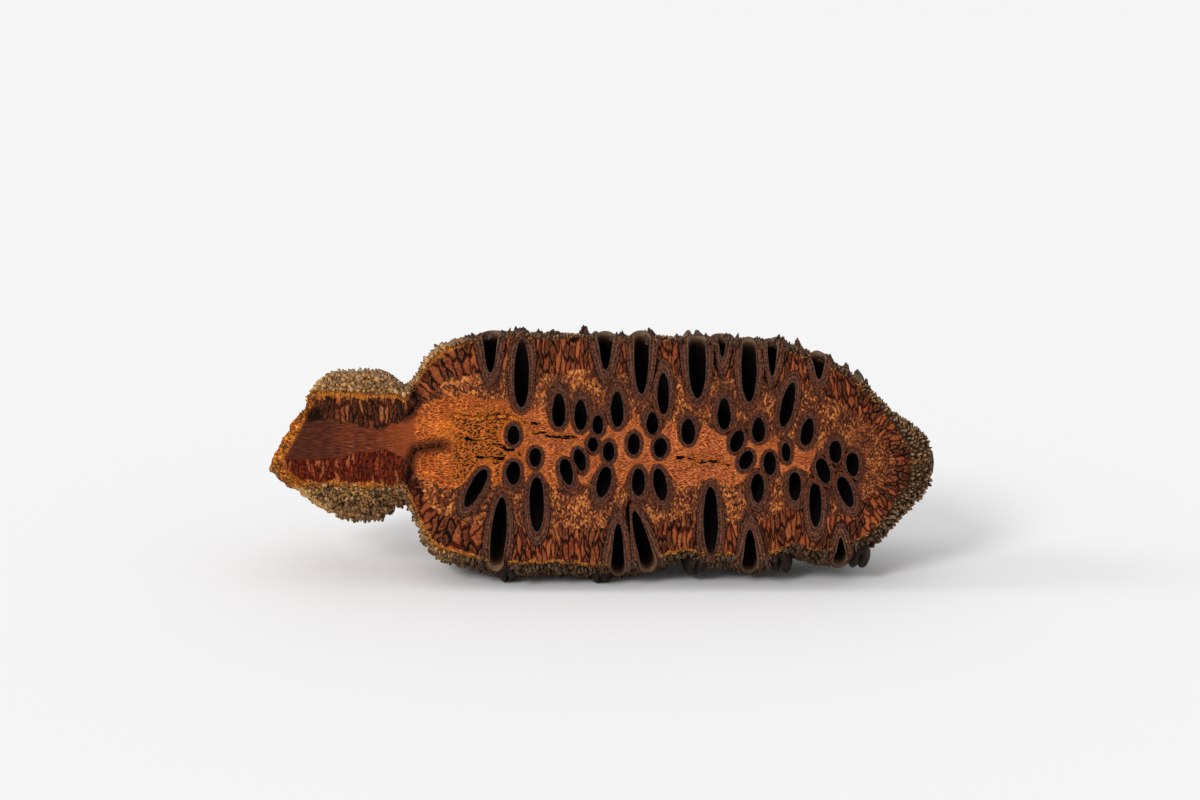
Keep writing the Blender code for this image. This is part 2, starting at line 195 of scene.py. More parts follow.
def station(stations, x):
    """The stations' values at each x, on a smooth curve through them."""
    table = np.array(stations, float)
    places = table[:, 0]
    here = np.clip(np.searchsorted(places, x) - 1, 0, len(places) - 2)
    there = here + 1
    before = np.maximum(here - 1, 0)
    after = np.minimum(here + 2, len(places) - 1)
    span = places[there] - places[here]
    t = (x - places[here]) / span
    values = []
    for column in table[:, 1:].T:
        leave = (column[there] - column[before]) / (places[there] - places[before]) * span
        arrive = (column[after] - column[here]) / (places[after] - places[here]) * span
        values.append(
            (2 * t**3 - 3 * t**2 + 1) * column[here] + (t**3 - 2 * t**2 + t) * leave
            + (3 * t**2 - 2 * t**3) * column[there] + (t**3 - t**2) * arrive
        )
    return values


def scatter(seed, *places):
    """A number from 0 to 1 for each whole-numbered place, the same each time."""
    mask = np.uint64(0xFFFFFFFF)
    mixed = np.full(np.shape(places[0]), (seed * 2654435761 + 12345) & 0xFFFFFFFF, np.uint64)
    for cell, factor in zip(places, (2376512323, 3625334849, 3407524639)):
        mixed = (mixed ^ (np.asarray(cell).astype(np.int64).astype(np.uint64) * np.uint64(factor))) & mask
        mixed = ((mixed ^ (mixed >> np.uint64(15))) * np.uint64(739982445)) & mask
        mixed = ((mixed ^ (mixed >> np.uint64(12))) * np.uint64(695872825)) & mask
    return ((mixed ^ (mixed >> np.uint64(15))) & mask).astype(float) / 4294967296.0


def noise(seed, x, y, z=0.0):
    """Smooth noise from -1 to 1."""
    x, y, z = np.broadcast_arrays(np.asarray(x, float), np.asarray(y, float), np.asarray(z, float))
    base = [np.floor(value) for value in (x, y, z)]
    part = [value - floor for value, floor in zip((x, y, z), base)]
    part = [value * value * (3 - 2 * value) for value in part]
    total = 0.0
    for i in (0, 1):
        for j in (0, 1):
            for k in (0, 1):
                weight = (
                    (part[0] if i else 1 - part[0]) * (part[1] if j else 1 - part[1])
                    * (part[2] if k else 1 - part[2])
                )
                total = total + weight * scatter(seed, base[0] + i, base[1] + j, base[2] + k)
    return total * 2 - 1


def rough(seed, x, y, z=0.0, octaves=3):
    """Noise with finer noise on it."""
    total = 0.0
    for octave in range(octaves):
        total = total + noise(seed + octave, x * 2**octave, y * 2**octave, z * 2**octave) / 2**octave
    return total


def cell_edge(seed, u, v):
    """How far each point is from the edge of its cell, in a plane of packed cells."""
    u, v = np.broadcast_arrays(np.asarray(u, float), np.asarray(v, float))
    nearest = np.full(u.shape, 9.0)
    second = np.full(u.shape, 9.0)
    for i in (-1, 0, 1):
        for j in (-1, 0, 1):
            column = np.floor(u) + i
            row = np.floor(v) + j
            away = np.hypot(
                column + 0.15 + 0.7 * scatter(seed, column, row) - u,
                row + 0.15 + 0.7 * scatter(seed + 1, column, row) - v,
            )
            second = np.where(away < nearest, nearest, np.minimum(second, away))
            nearest = np.minimum(nearest, away)
    return second - nearest


def distance_to_runs(runs, x, z):
    """Distance from each point to the nearest of some runs of straight pieces."""
    best = np.full(np.shape(x), 1e3)
    for run in runs:
        for (x0, z0), (x1, z1) in zip(run, run[1:]):
            dx, dz = x1 - x0, z1 - z0
            share = np.clip(((x - x0) * dx + (z - z0) * dz) / (dx * dx + dz * dz), 0, 1)
            best = np.minimum(best, np.hypot(x - x0 - share * dx, z - z0 - share * dz))
    return best


# ---- mesh helpers ----------------------------------------------------------------------------------------

def grid_faces(rows, columns, wrap):
    """Quads between the points of a grid that is kept row by row."""
    turns = columns if wrap else columns - 1
    row, column = np.meshgrid(np.arange(rows - 1), np.arange(turns), indexing="ij")
    after = (column + 1) % columns
    quads = np.stack(
        (
            row * columns + column, (row + 1) * columns + column,
            (row + 1) * columns + after, row * columns + after,
        ),
        axis=-1,
    )
    return quads.reshape(-1, 4)


def mesh_from(name, points, faces):
    """A mesh object from points in millimetres and lists of corner numbers."""
    made = bpy.data.meshes.new(name)
    made.from_pydata(np.asarray(points, float).tolist(), [], [list(map(int, face)) for face in faces])
    made.validate()
    thing = bpy.data.objects.new(name, made)
    bpy.context.scene.collection.objects.link(thing)
    return thing


def face_out(thing):
    """Turns a closed mesh's faces outwards."""
    skin = bmesh.new()
    skin.from_mesh(thing.data)
    bmesh.ops.recalc_face_normals(skin, faces=skin.faces)
    skin.to_mesh(thing.data)
    skin.free()
    return thing


def tube_skin(rings, first_pole, last_pole):
    """Points and faces of a closed skin over rings, each an array of points."""
    rows, columns = rings.shape[:2]
    points = np.concatenate((rings.reshape(-1, 3), [first_pole, last_pole]))
    faces = [list(quad) for quad in grid_faces(rows, columns, True)]
    first, last = rows * columns, rows * columns + 1
    end = (rows - 1) * columns
    for k in range(columns):
        after = (k + 1) % columns
        faces.append([first, k, after])
        faces.append([last, end + after, end + k])
    return points, faces


def joined(name, skins):
    """One mesh object from several closed skins, each given as its points and faces."""
    points, faces, count = [], [], 0
    for skin_points, skin_faces in skins:
        points.append(skin_points)
        faces += [[corner + count for corner in face] for face in skin_faces]
        count += len(skin_points)
    return face_out(mesh_from(name, np.concatenate(points), faces))


def boolean(thing, operation, cutter=None, group=None):
    """Applies a Boolean at once, so that the result is a plain mesh."""
    modifier = thing.modifiers.new(operation.lower(), "BOOLEAN")
    modifier.operation = operation
    modifier.solver = "MANIFOLD"
    if group:
        modifier.operand_type = "COLLECTION"
        modifier.collection = group
    else:
        modifier.object = cutter
    seen = thing.evaluated_get(bpy.context.evaluated_depsgraph_get())
    result = bpy.data.meshes.new_from_object(seen)
    thing.modifiers.clear()
    thing.data = result
    return thing


def copy_of(thing, name):
    made = bpy.data.objects.new(name, thing.data.copy())
    bpy.context.scene.collection.objects.link(made)
    return made


def remove(*things):
    for thing in things:
        bpy.data.objects.remove(thing, do_unlink=True)


def points_of(thing):
    points = np.empty(len(thing.data.vertices) * 3, np.float32)
    thing.data.vertices.foreach_get("co", points)
    return points.reshape(-1, 3).astype(float)


def set_points(thing, points):
    thing.data.vertices.foreach_set("co", np.asarray(points, np.float32).ravel())
    thing.data.update()


def give(thing, **values):
    """Stores one number for each point under each name, for the materials to read."""
    for name, numbers in values.items():
        layer = thing.data.attributes.new(name, "FLOAT", "POINT")
        layer.data.foreach_set("value", np.asarray(numbers, np.float32).ravel())


def place(thing, surface, nodes=()):
    """Sets a finished piece into the part: from the cone's frame in millimetres to the part's in metres."""
    turn = np.array(TO_PART)
    set_points(thing, points_of(thing) @ turn.T * MM + np.array(CONE_ORIGIN))
    thing.data.shade_smooth()
    thing.data.materials.clear()
    thing.data.materials.append(surface)
    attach(thing, "root")
    if nodes:
        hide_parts(*nodes)


# ---- the cone's shape ------------------------------------------------------------------------------------

def rind_radius(x, angle):
    """The cone's outer radius at x and at an angle round it, with the unevenness of a grown thing."""
    radius = station(BODY, x)[0]
    along = x / 9.0
    across = np.cos(angle) * 2.2, np.sin(angle) * 2.2
    uneven = 0.55 * rough(11, along, across[0], across[1])
    uneven = uneven + 0.25 * noise(17, x / 1.3, angle * radius / 1.3)
    for hollow_x, width, deep in HOLLOWS:
        under = fade(0.9, 0.2, np.abs((angle + math.pi / 2 + math.pi) % (2 * math.pi) - math.pi))
        uneven = uneven - deep * under * np.exp(-(((x - hollow_x) / width) ** 2))
    return radius + uneven * fade(107, 96, x)


def rind_point(x, angle, rise=0.0):
    """A point on the rind, or this much above it. The angle is 0 straight out of the face, + upward."""
    _, height, depth = station(BODY, x)
    radius = rind_radius(x, angle) + rise
    return np.stack((x + 0 * angle, depth - radius * np.cos(angle), height + radius * np.sin(angle)), axis=-1)


class Follicle:
    """One woody fruit: a flattened chamber that runs outward from the cone's axis."""

    def __init__(self, number, x, angle, half_width, half_height, turn):
        self.number = number
        self.x = x
        self.angle = math.radians(angle)
        self.half_width = half_width
        self.half_height = half_height
        turn = math.radians(turn)
        lean = turn * math.sin(self.angle)
        twist = turn * math.cos(self.angle)
        out = np.array((0, -math.cos(self.angle), math.sin(self.angle)))
        tall = np.array((0, math.sin(self.angle), math.cos(self.angle)))
        wide = np.array((1.0, 0, 0))
        self.out = out * math.cos(lean) + wide * math.sin(lean)
        wide = wide * math.cos(lean) - out * math.sin(lean)
        self.tall = tall * math.cos(twist) + wide * math.sin(twist)
        self.wide = wide * math.cos(twist) - tall * math.sin(twist)
        self.crossing = AXIS_DEPTH / math.cos(self.angle)
        self.middle = np.array((x, 0, AXIS_DEPTH * math.tan(self.angle)))
        radius, height, _ = station(BODY, np.array([float(x)]))
        self.mouth = float(radius[0] + height[0] * math.sin(self.angle)) + MOUTH_RISE

    def flare(self, reach):
        return self.half_height * (1 + (reach - CHAMBER_FULL) / FLARE)

    def wall(self, reach):
        return np.clip(WALL + WALL_GROWTH * (reach - CHAMBER_FULL), WALL, WALL_MOST)

    def widening(self, reach):
        return 1.05 + 0.28 * fade(17, 32, reach)

    def fullness(self, reach, base):
        share = np.clip((reach - base) / (CHAMBER_FULL - base), 0, 1)
        return np.sqrt(1 - (1 - share) ** 2) * (0.15 + 0.85 * share) + 1e-3

    def spread(self, reach, round_it, grown):
        """How far the skin lies from the centre line, by distance from the axis and angle round the line."""
        base = CHAMBER_BASE - np.minimum(grown, WALL + SEAM)
        full = self.fullness(reach, base)
        opening = 1 + 0.3 * fade(self.mouth - 5, self.mouth + 0.5, reach) ** 2
        wide = (self.half_width * self.widening(reach) * opening + grown) * full
        tall = (self.flare(reach) + grown * 1.1) * full
        plain = 1 / np.sqrt((np.cos(round_it) / wide) ** 2 + (np.sin(round_it) / tall) ** 2)
        wobble = noise(40 + self.number, np.cos(round_it) * 1.3, np.sin(round_it) * 1.3, reach / 9.0)
        return plain * (1 + 0.07 * wobble)

    def direction(self, round_it):
        return np.cos(round_it)[..., None] * self.wide + np.sin(round_it)[..., None] * self.tall

    def at(self, reach):
        return self.middle + np.asarray(reach - self.crossing)[..., None] * self.out

    def walls(self, others):
        """The flat sides that neighbouring follicles press on this one: a point and the outward direction."""
        found = []
        for other in others:
            along = other.x - self.x
            turned = other.angle - self.angle
            apart = math.hypot(along, CHAMBER_FULL * turned)
            if other is self or apart > NEIGHBOUR_REACH:
                continue
            wide = along / apart
            tall = CHAMBER_FULL * turned / apart
            own = math.hypot(self.half_width * wide, self.half_height * tall)
            theirs = math.hypot(other.half_width * wide, other.half_height * tall)
            share = own / (own + theirs)
            angle = self.angle + turned * share
            point = np.array((self.x + along * share, AXIS_DEPTH, 0))
            found.append((point, np.array((wide, math.sin(angle) * tall, math.cos(angle) * tall))))
        return found

    def skin(self, reach, round_it, grown, pressed, clearance):
        """Points on the skin, flattened where neighbours press on it."""
        centre = self.at(reach)
        direction = self.direction(round_it)
        away = self.spread(reach, round_it, grown)
        for point, outward in pressed:
            gain = direction @ outward
            room = -clearance - (centre - point) @ outward
            limit = np.where(gain > 0.05, room / np.maximum(gain, 0.05), 1e3)
            away = np.minimum(away, np.maximum(limit, 0.25))
        return centre + away[..., None] * direction


follicles = [Follicle(number, *row) for number, row in enumerate(FOLLICLES, start=1)]


def follicle_gap(x, z):
    """On the sawn face: the distance to the nearest follicle's outside, and a height that follows the grain.

    The grain bends round the follicles.
    """
    nearest = np.full(np.shape(x), 1e3)
    grain = np.array(z, float)
    for fruit in follicles:
        close = np.abs(x - fruit.x) < 16
        point = np.stack((x[close], 0 * x[close], z[close]), axis=-1) - fruit.middle
        reach = fruit.crossing + point @ fruit.out
        wide = point @ fruit.wide
        tall = point @ fruit.tall
        wall = fruit.wall(reach)
        half_wide = fruit.half_width * fruit.widening(reach) + wall
        half_tall = np.maximum(fruit.flare(np.maximum(reach, CHAMBER_BASE)), 1.0) + wall
        gap = (np.hypot(wide / half_wide, tall / half_tall) - 1) * half_wide
        nearest[close] = np.minimum(nearest[close], gap)
        pull = np.exp(-np.maximum(gap, 0) / 1.6)
        grain[close] += (fruit.middle[2] - z[close]) * pull * 0.55
    return nearest, grain


def face_marks(x, z):
    """What the sawn face shows at (x, z): the depth of its relief, and what its material reads."""
    _, height, depth = station(BODY, x)
    radius = rind_radius(x, np.where(z > height, 1.2, -1.2))
    core_radius, core_height, core_depth = station(AXIS, np.clip(x, -112, 81))
    chord = np.sqrt(np.maximum(radius**2 - depth**2, 0.01))
    core = np.sqrt(np.maximum(core_radius**2 - core_depth**2, 0.01)) * fade(84, 79, x)
    stalk = fade(-58, -63, x)
    gap, grain = follicle_gap(x, z)
    side = np.sign(z - core_height)
    from_edge = chord - np.abs(z - height)
    from_core = np.abs(z - core_height) - core + 12 * fade(80, 84, x)

    # Bracts stand in columns that fan out round the ends of the core.
    along = np.clip(x, -36.0, 76.0)
    turned = np.arctan2(x - along, np.abs(z - core_height) + 1e-6)
    u = np.where(x < -62, x, along + 17.0 * turned)
    v = np.where(x < -62, np.abs(z - core_height), np.hypot(x - along, z - core_height))
    v = v * (1 + 0.8 * fade(72, 84, x)) + 60 * (side > 0)
    u = u + 0.5 * rough(31, x / 5.0, z / 5.0)
    column_depth = 10.5 - 2.0 * stalk + 1.5 * noise(33, x / 7.0, side * 3.0)
    outer = np.maximum(fade(column_depth + 1.2, column_depth - 1.2, from_edge), stalk)
    near = np.exp(-np.maximum(gap, 0) / 1.1) * (1 - stalk)
    wood = fade(0.8, -0.8, from_core - 0.9 * (1 - stalk) + 0.8 * rough(21, x / 4.0, z / 4.0) + 4.5 * near)
    spongy = fade(-54, -45, x) * fade(-18, -29, x) * fade(15.5, 9, np.abs(z - 0.5))
    spongy = spongy * wood * fade(0.3, 1.4, gap)

    gold_gap = distance_to_runs(GOLD_CRACKS, x, z)
    black_gap = distance_to_runs(BLACK_CRACKS, x, z)
    shoulder = distance_to_runs(SHOULDER_GAPS, x, z)
    jitter = 0.3 * noise(71, x / 0.8, z / 0.8)
    crack = np.maximum(fade(0.6, 0.2, black_gap + jitter), 1.3 * fade(1.6, 0.3, shoulder + 2 * jitter))
    gaps = fade(0.30, 0.06, cell_edge(41, u / 1.75, v / 5.2)) * outer * (1 - wood)
    sink = 0.10 * rough(81, x / 0.9, z / 0.9) * (1 - wood) + crack + 0.25 * gaps
    sink = sink + 0.2 * fade(0.9, 0.2, gold_gap)
    tear = np.full(np.shape(x), 9.0)
    for point, outward in STALK_END:
        tear = np.minimum(tear, (point[0] - x) * outward[0] + (point[2] - z) * outward[2])
    # A pit near the stalk's end: sunk into the face, and painted near-black in the sawn paint as painted
    # shade.
    hollow = np.exp(-(((x + 93) / 3.2) ** 2 + ((z - 11) / 2.6) ** 2))
    crumbly = 0.5 + 0.5 * rough(85, x / 1.6, z / 1.2, 0.0, 2)
    sink = sink + fade(3.2, 0.3, tear) * (0.5 + 1.3 * np.clip(crumbly, 0, 1.2)) + 1.8 * hollow
    sink = np.clip(sink + 0.1, 0.0, 2.4) * fade(0.0, 0.6, from_edge)
    return {
        "sink": sink, "wood": wood, "outer": outer, "grain": grain, "gap": np.clip(gap, -3, 8),
        "u": u, "v": v, "from_edge": from_edge, "spongy": spongy, "stalk": stalk,
        "gold_gap": np.minimum(gold_gap, 9), "black_gap": np.minimum(black_gap, 9),
        "shoulder": np.minimum(shoulder, 9), "tear": np.clip(tear, -2, 9), "hollow": hollow,
    }


def build_body():
    """The whole sawn cone as one closed skin: a dense sawn face and the uneven rind round its back."""
    x = np.linspace(-111.5, 106.6, LENGTH_ROWS)
    radius, _, depth = station(BODY, x)
    sides = []
    for side in (1, -1):
        angle = np.arccos(np.clip(depth / radius, -1, 1))
        for _ in range(3):
            angle = np.arccos(np.clip(depth / rind_radius(x, side * angle), -1, 1))
        sides.append(np.maximum(angle, 0.03))
    top, bottom = sides
    share = np.linspace(0, 1, RIND_COLUMNS)[None, :]
    angles = top[:, None] * (1 - share) + (2 * math.pi - bottom[:, None]) * share
    rind = rind_point(np.repeat(x[:, None], RIND_COLUMNS, axis=1), angles)
    share = np.linspace(0, 1, FACE_COLUMNS + 2)[None, 1:-1]
    low = rind[:, -1]
    high = rind[:, 0]
    face = low[:, None, :] * (1 - share[..., None]) + high[:, None, :] * share[..., None]
    sawn = (radius > depth)[:, None]
    marks = face_marks(face[..., 0], face[..., 2])
    face[..., 1] += np.where(sawn, marks["sink"], 0)
    loop = np.concatenate((rind, face), axis=1)
    points, faces = tube_skin(loop, loop[0].mean(axis=0), loop[-1].mean(axis=0) + (0.3, 0, 0))
    body = face_out(mesh_from("sawn_cone", points, faces))
    for number, (point, outward) in enumerate(STALK_END):
        block = tear_block(number, point, outward)
        boolean(body, "DIFFERENCE", cutter=block)
        remove(block)
    return body


def tear_block(number, point, outward):
    """A block with a rough front. It takes the stalk's end off along a slanted plane."""
    out = Vector(outward).normalized()
    across = Vector((0, 1, 0))
    up = out.cross(across)
    size = TEAR_STEPS
    steps = np.linspace(-TEAR_REACH, TEAR_REACH, size)
    a, b = np.meshgrid(steps, steps, indexing="ij")
    tear = rough(91 + number, a / 6.0, b / 3.0, 0, 4) + 0.5 * noise(95, a / 1.1, b / 1.1)
    centre = np.array(point) + (0, 18, 0)
    front = centre + a[..., None] * np.array(across) + b[..., None] * np.array(up)
    front = (front + (tear + 1.0)[..., None] * np.array(out)).reshape(-1, 3)
    back = front + np.array(out) * TEAR_THICK
    count = size * size
    faces = [list(quad) for quad in grid_faces(size, size, False)]
    faces += [[corner + count for corner in reversed(quad)] for quad in faces]
    rim = list(range(size)) + [k * size + size - 1 for k in range(1, size)]
    rim += [(size - 1) * size + k for k in range(size - 2, -1, -1)]
    rim += [k * size for k in range(size - 2, 0, -1)]
    for here, there in zip(rim, rim[1:] + rim[:1]):
        faces.append([here, there, there + count, here + count])
    return face_out(mesh_from("tear", np.concatenate((front, back)), faces))


def build_core_solid():
    """The core as a rough round bar. The sawn cone is parted into wood and bracts by it."""
    x = np.concatenate((np.linspace(-116, 60, 110), np.linspace(61, 81.5, 22)))
    radius, height, depth = station(AXIS, np.clip(x, -112, 81))
    turn = np.linspace(0, 2 * math.pi, 72, endpoint=False)[None, :]
    round_x = x[:, None] + 0 * turn
    width = radius[:, None] + 0.7 * rough(101, round_x / 3.5, np.cos(turn) * 3, np.sin(turn) * 3)
    ring = np.stack(
        (round_x, depth[:, None] - width * np.cos(turn), height[:, None] + width * np.sin(turn)), axis=-1
    )
    points, faces = tube_skin(ring, ring[0].mean(axis=0), ring[-1].mean(axis=0) + (1.5, 0, 0))
    return face_out(mesh_from("core", points, faces))


def build_pockets():
    """A closed solid of each follicle's outside, to cut its place out of the cone."""
    group = bpy.data.collections.new("pockets")
    bpy.context.scene.collection.children.link(group)
    turn = np.linspace(0, 2 * math.pi, 36, endpoint=False)
    for fruit in follicles:
        base = CHAMBER_BASE - WALL - SEAM
        near, far = np.linspace(base + 0.4, CHAMBER_FULL, 8), np.linspace(16, fruit.mouth + 9, 12)
        rings = [
            fruit.skin(np.full(turn.shape, reach), turn, fruit.wall(reach) + SEAM, (), 0)
            for reach in np.concatenate((near, far))
        ]
        points, faces = tube_skin(np.stack(rings), fruit.at(base), fruit.at(far[-1] + 0.5))
        pocket = face_out(mesh_from(f"pocket_{fruit.number:02d}", points, faces))
        bpy.context.scene.collection.objects.unlink(pocket)
        group.objects.link(pocket)
    return group


def mark_up(thing):
    """Stores what the sawn face shows on every point of a piece of it."""
    points = points_of(thing)
    marks = face_marks(points[:, 0], points[:, 2])
    sink = marks.pop("sink")
    on_face = fade(0.5, 0.15, np.abs(points[:, 1] - sink)) * (points[:, 1] < 2.5)
    _, height, depth = station(BODY, points[:, 0])
    out = np.hypot(points[:, 1] - depth, points[:, 2] - height)
    angle = np.arctan2(points[:, 2] - height, depth - points[:, 1])
    rind = fade(-2.0, -0.6, out - rind_radius(points[:, 0], angle)) * (1 - on_face)
    torn = fade(3.4, 2.4, marks["tear"]) * (1 - on_face) * (1 - rind)
    give(thing, on_face=on_face, rind=rind, torn=torn, **marks)


def build_cup(fruit):
    """A follicle as the saw left it: its outside, the cut edge of its wall, and the chamber inside."""
    columns = CUP_COLUMNS
    turn = np.linspace(0, 2 * math.pi, columns, endpoint=False)
    pressed = fruit.walls(follicles)

    def outer(reach):
        return fruit.skin(reach, turn, fruit.wall(reach), pressed, SEAM / 2)

    def inner(reach):
        return fruit.skin(reach, turn, 0.0, pressed, SEAM / 2 + THINNEST_WALL)

    def last_reach(line, mouth):
        """Where each line of the skin meets the saw plane, or the mouth if that comes first."""
        low = np.full(columns, CHAMBER_BASE + 0.5)
        high = np.full(columns, 90.0)
        for _ in range(40):
            half = (low + high) / 2
            behind = line(half)[:, 1] > 0
            low = np.where(behind, half, low)
            high = np.where(behind, high, half)
        return np.minimum(low, mouth), low > mouth

    uneven = 0.9 * noise(200 + fruit.number, np.cos(turn) * 2, np.sin(turn) * 2)
    outer_end, outer_open = last_reach(outer, fruit.mouth - 1.9 + 0.6 * uneven)
    inner_end, inner_open = last_reach(inner, fruit.mouth - 0.1 + uneven)
    rows = []
    across = []
    depth = []
    base = CHAMBER_BASE - WALL
    for share in np.linspace(0.04, 1, OUTER_ROWS):
        rows.append(outer(base + (outer_end - base) * share))
        across.append(np.zeros(columns))
        depth.append(np.full(columns, OUTSIDE))
    start, stop = outer(outer_end), inner(inner_end)
    for share in np.linspace(0, 1, RIM_ROWS + 2)[1:-1]:
        row = start * (1 - share) + stop * share
        bump = math.sin(share * math.pi)
        curl = np.where(outer_open & inner_open, 0.7 * bump, 0.0)
        row = row + curl[:, None] * fruit.out
        dents = 0.12 * bump * (scatter(300, turn * 40, 0 * turn) - 0.3)
        row[:, 1] += np.where(outer_open | inner_open, 0, dents)
        rows.append(row)
        across.append(np.full(columns, share))
        depth.append(np.full(columns, OUTSIDE))
    base = CHAMBER_BASE
    for share in np.linspace(1, 0.05, INNER_ROWS):
        reach = base + (inner_end - base) * share
        rows.append(inner(reach))
        across.append(np.full(columns, 1.0))
        depth.append(reach)
    points, faces = tube_skin(np.stack(rows), fruit.at(CHAMBER_BASE - WALL), fruit.at(CHAMBER_BASE))
    cup = face_out(mesh_from(f"follicle_{fruit.number:02d}_wood", points, faces))
    inside = np.zeros(len(rows) * columns + 2)
    inside[(OUTER_ROWS + RIM_ROWS) * columns:-2] = 1
    inside[-1] = 1
    walk = np.tile(turn, len(rows)) * (fruit.half_width + fruit.half_height)
    give(
        cup, across=np.append(np.concatenate(across), (0, 1)), chamber=inside,
        deep=np.append(np.concatenate(depth), (OUTSIDE, CHAMBER_BASE)),
        walk=np.append(walk, (0, 0)), far=np.append(np.tile(outer_end, len(rows)), (0, 0)),
        mouth=np.full(len(inside), fruit.mouth),
    )
    return cup


# ---- rind ------------------------------------------------------------------------------------------------

def lip_places():
    """Where the follicles that the saw did not reach come out: x, angle and rise."""
    places = []
    for column, x in enumerate(LIP_COLUMNS):
        for first_angle in LIP_ANGLES:
            angle = first_angle + LIP_STAGGER * ((column + 1) % 2)
            if angle == LIP_REST_ANGLE or angle > LIP_FIRST_ANGLE:
                continue
            places.append((x, math.radians(angle), LIP_RISE_FAR if x > LIP_FAR_X else LIP_RISE))
    return places


def floor_height(points):
    """Height above the floor, in millimetres."""
    turn = np.array(TO_PART)
    return points @ turn[2] + CONE_ORIGIN[2] / MM


def build_lips():
    """Two smooth valves that meet in a slit, for each of those follicles."""
    rows, columns = 25, 28
    t = np.linspace(-1, 1, rows)[:, None]
    turn = np.linspace(0, 2 * math.pi, columns, endpoint=False)[None, :]
    skins, slits = [], []
    for number, (x, angle, rise) in enumerate(lip_places()):
        size = 0.9 + 0.2 * scatter(501, number)
        gape = 0.35 + 0.5 * scatter(502, number)
        outline = np.sqrt(np.maximum(1 - np.abs(t) ** 2.4, 0.0)) * np.ones_like(turn)
        across = np.cos(turn) * outline
        up = np.sin(turn) * outline
        bend = 0.7 * rough(510 + number, t * 1.5 + 0 * turn, across * 1.5)
        slit = np.exp(-((across / 0.16) ** 2)) * (up > 0) * fade(1.0, 0.72, np.abs(t))
        wide = across * LIP_HALF_WIDTH * size + 0.35 * bend
        tall = t * LIP_HALF_LENGTH * size + 0 * turn
        crease = 0.12 * noise(520 + number, across * 9, t * 2)
        high = np.where(up > 0, up * rise * (0.95 + 0.12 * bend) - slit * rise * gape + crease, up * 2.5)
        centre = rind_point(np.array([float(x)]), np.array([angle]))[0]
        out = np.array((0, -math.cos(angle), math.sin(angle)))
        tangent = np.array((0, math.sin(angle), math.cos(angle)))
        spin = (scatter(503, number) - 0.5) * 0.35
        axial = np.array((1.0, 0, 0)) * math.cos(spin) + tangent * math.sin(spin)
        cross = tangent * math.cos(spin) - np.array((1.0, 0, 0)) * math.sin(spin)
        ring = (
            centre + wide[..., None] * axial + tall[..., None] * cross
            + (high - 0.012 * tall**2)[..., None] * out
        )
        lift = np.maximum(0.15 - floor_height(ring), 0)
        ring = ring + lift[..., None] * np.array(TO_PART)[2]
        skins.append(tube_skin(ring[1:-1], ring[0].mean(axis=0), ring[-1].mean(axis=0)))
        slits.append(np.append(slit[1:-1].ravel(), (0, 0)))
    lips = joined("valve_lips", skins)
    give(lips, slit=np.concatenate(slits))
    return lips


def clear_of_mouths(x, angle):
    """False where a follicle's mouth or lips leave no room for bract tips."""
    clear = np.ones(np.shape(x), bool)
    radius = station(BODY, x)[0]
    for lip_x, lip_angle, _ in lip_places():
        turned = (angle - lip_angle + math.pi) % (2 * math.pi) - math.pi
        clear &= np.hypot((x - lip_x) / (LIP_HALF_WIDTH + 0.4), radius * turned / (LIP_HALF_LENGTH + 0.3)) > 1
    for fruit in follicles:
        away = angle - fruit.angle
        near = np.abs(away) < 0.5
        tall = fruit.flare(radius) + 1.6
        clear &= ~(near & (np.hypot((x - fruit.x) / (fruit.half_width + 1.9), radius * away / tall) < 1))
    return clear


def tip_places():
    """Bract tips in a diamond lattice over the rind: points, outward directions, sizes and stations."""
    spots, outs, sizes, stations = [], [], [], []
    pitch = TIP_PITCH
    for row, x in enumerate(np.arange(-103.0, 105.4, pitch * 0.86)):
        radius = station(BODY, np.array([x]))[0][0]
        count = max(int(round(2 * math.pi * radius / (pitch * 1.12))), 5)
        k = np.arange(count)
        angle = 2 * math.pi * (k + 0.5 * (row % 2) + 0.22 * (scatter(601, k, k * 0 + row) - 0.5)) / count
        loose = 1.4 if x < -50 else 0.85
        here = x + loose * (scatter(602, k, k * 0 + row) - 0.5)
        angle = angle + (loose - 0.5) / radius * (scatter(604, k, k * 0 + row) - 0.5)
        point = rind_point(here, angle)
        behind = point[:, 1] > 0.6
        turned = (angle + math.pi) % (2 * math.pi) - math.pi
        keep = behind & clear_of_mouths(here, turned)
        for stalk_point, outward in STALK_END:
            keep &= (point - np.array(stalk_point)) @ np.array(outward) < -0.3
        slope = (rind_point(here + 0.8, angle) - rind_point(here - 0.8, angle)) / 1.6
        out = np.stack((0 * angle, -np.cos(angle), np.sin(angle)), axis=-1)
        out = out - (out * slope).sum(axis=1)[:, None] * slope / (slope**2).sum(axis=1)[:, None]
        out /= np.linalg.norm(out, axis=1)[:, None]
        keep &= floor_height(point + out * 1.3) > 0.4
        spots.append(point[keep])
        outs.append(out[keep])
        size = 0.7 + 0.6 * scatter(603, k, k * 0 + row)
        size = size + (loose - 0.5) * scatter(605, k, k * 0 + row) ** 3
        crest = np.exp(-(((turned - CREST_ANGLE) / 0.28) ** 2)) * fade(-48, -38, here)
        sizes.append((size * (1 - 0.4 * crest))[keep])
        stations.append((0 * angle + x)[keep])
    return [np.concatenate(found) for found in (spots, outs, sizes, stations)]


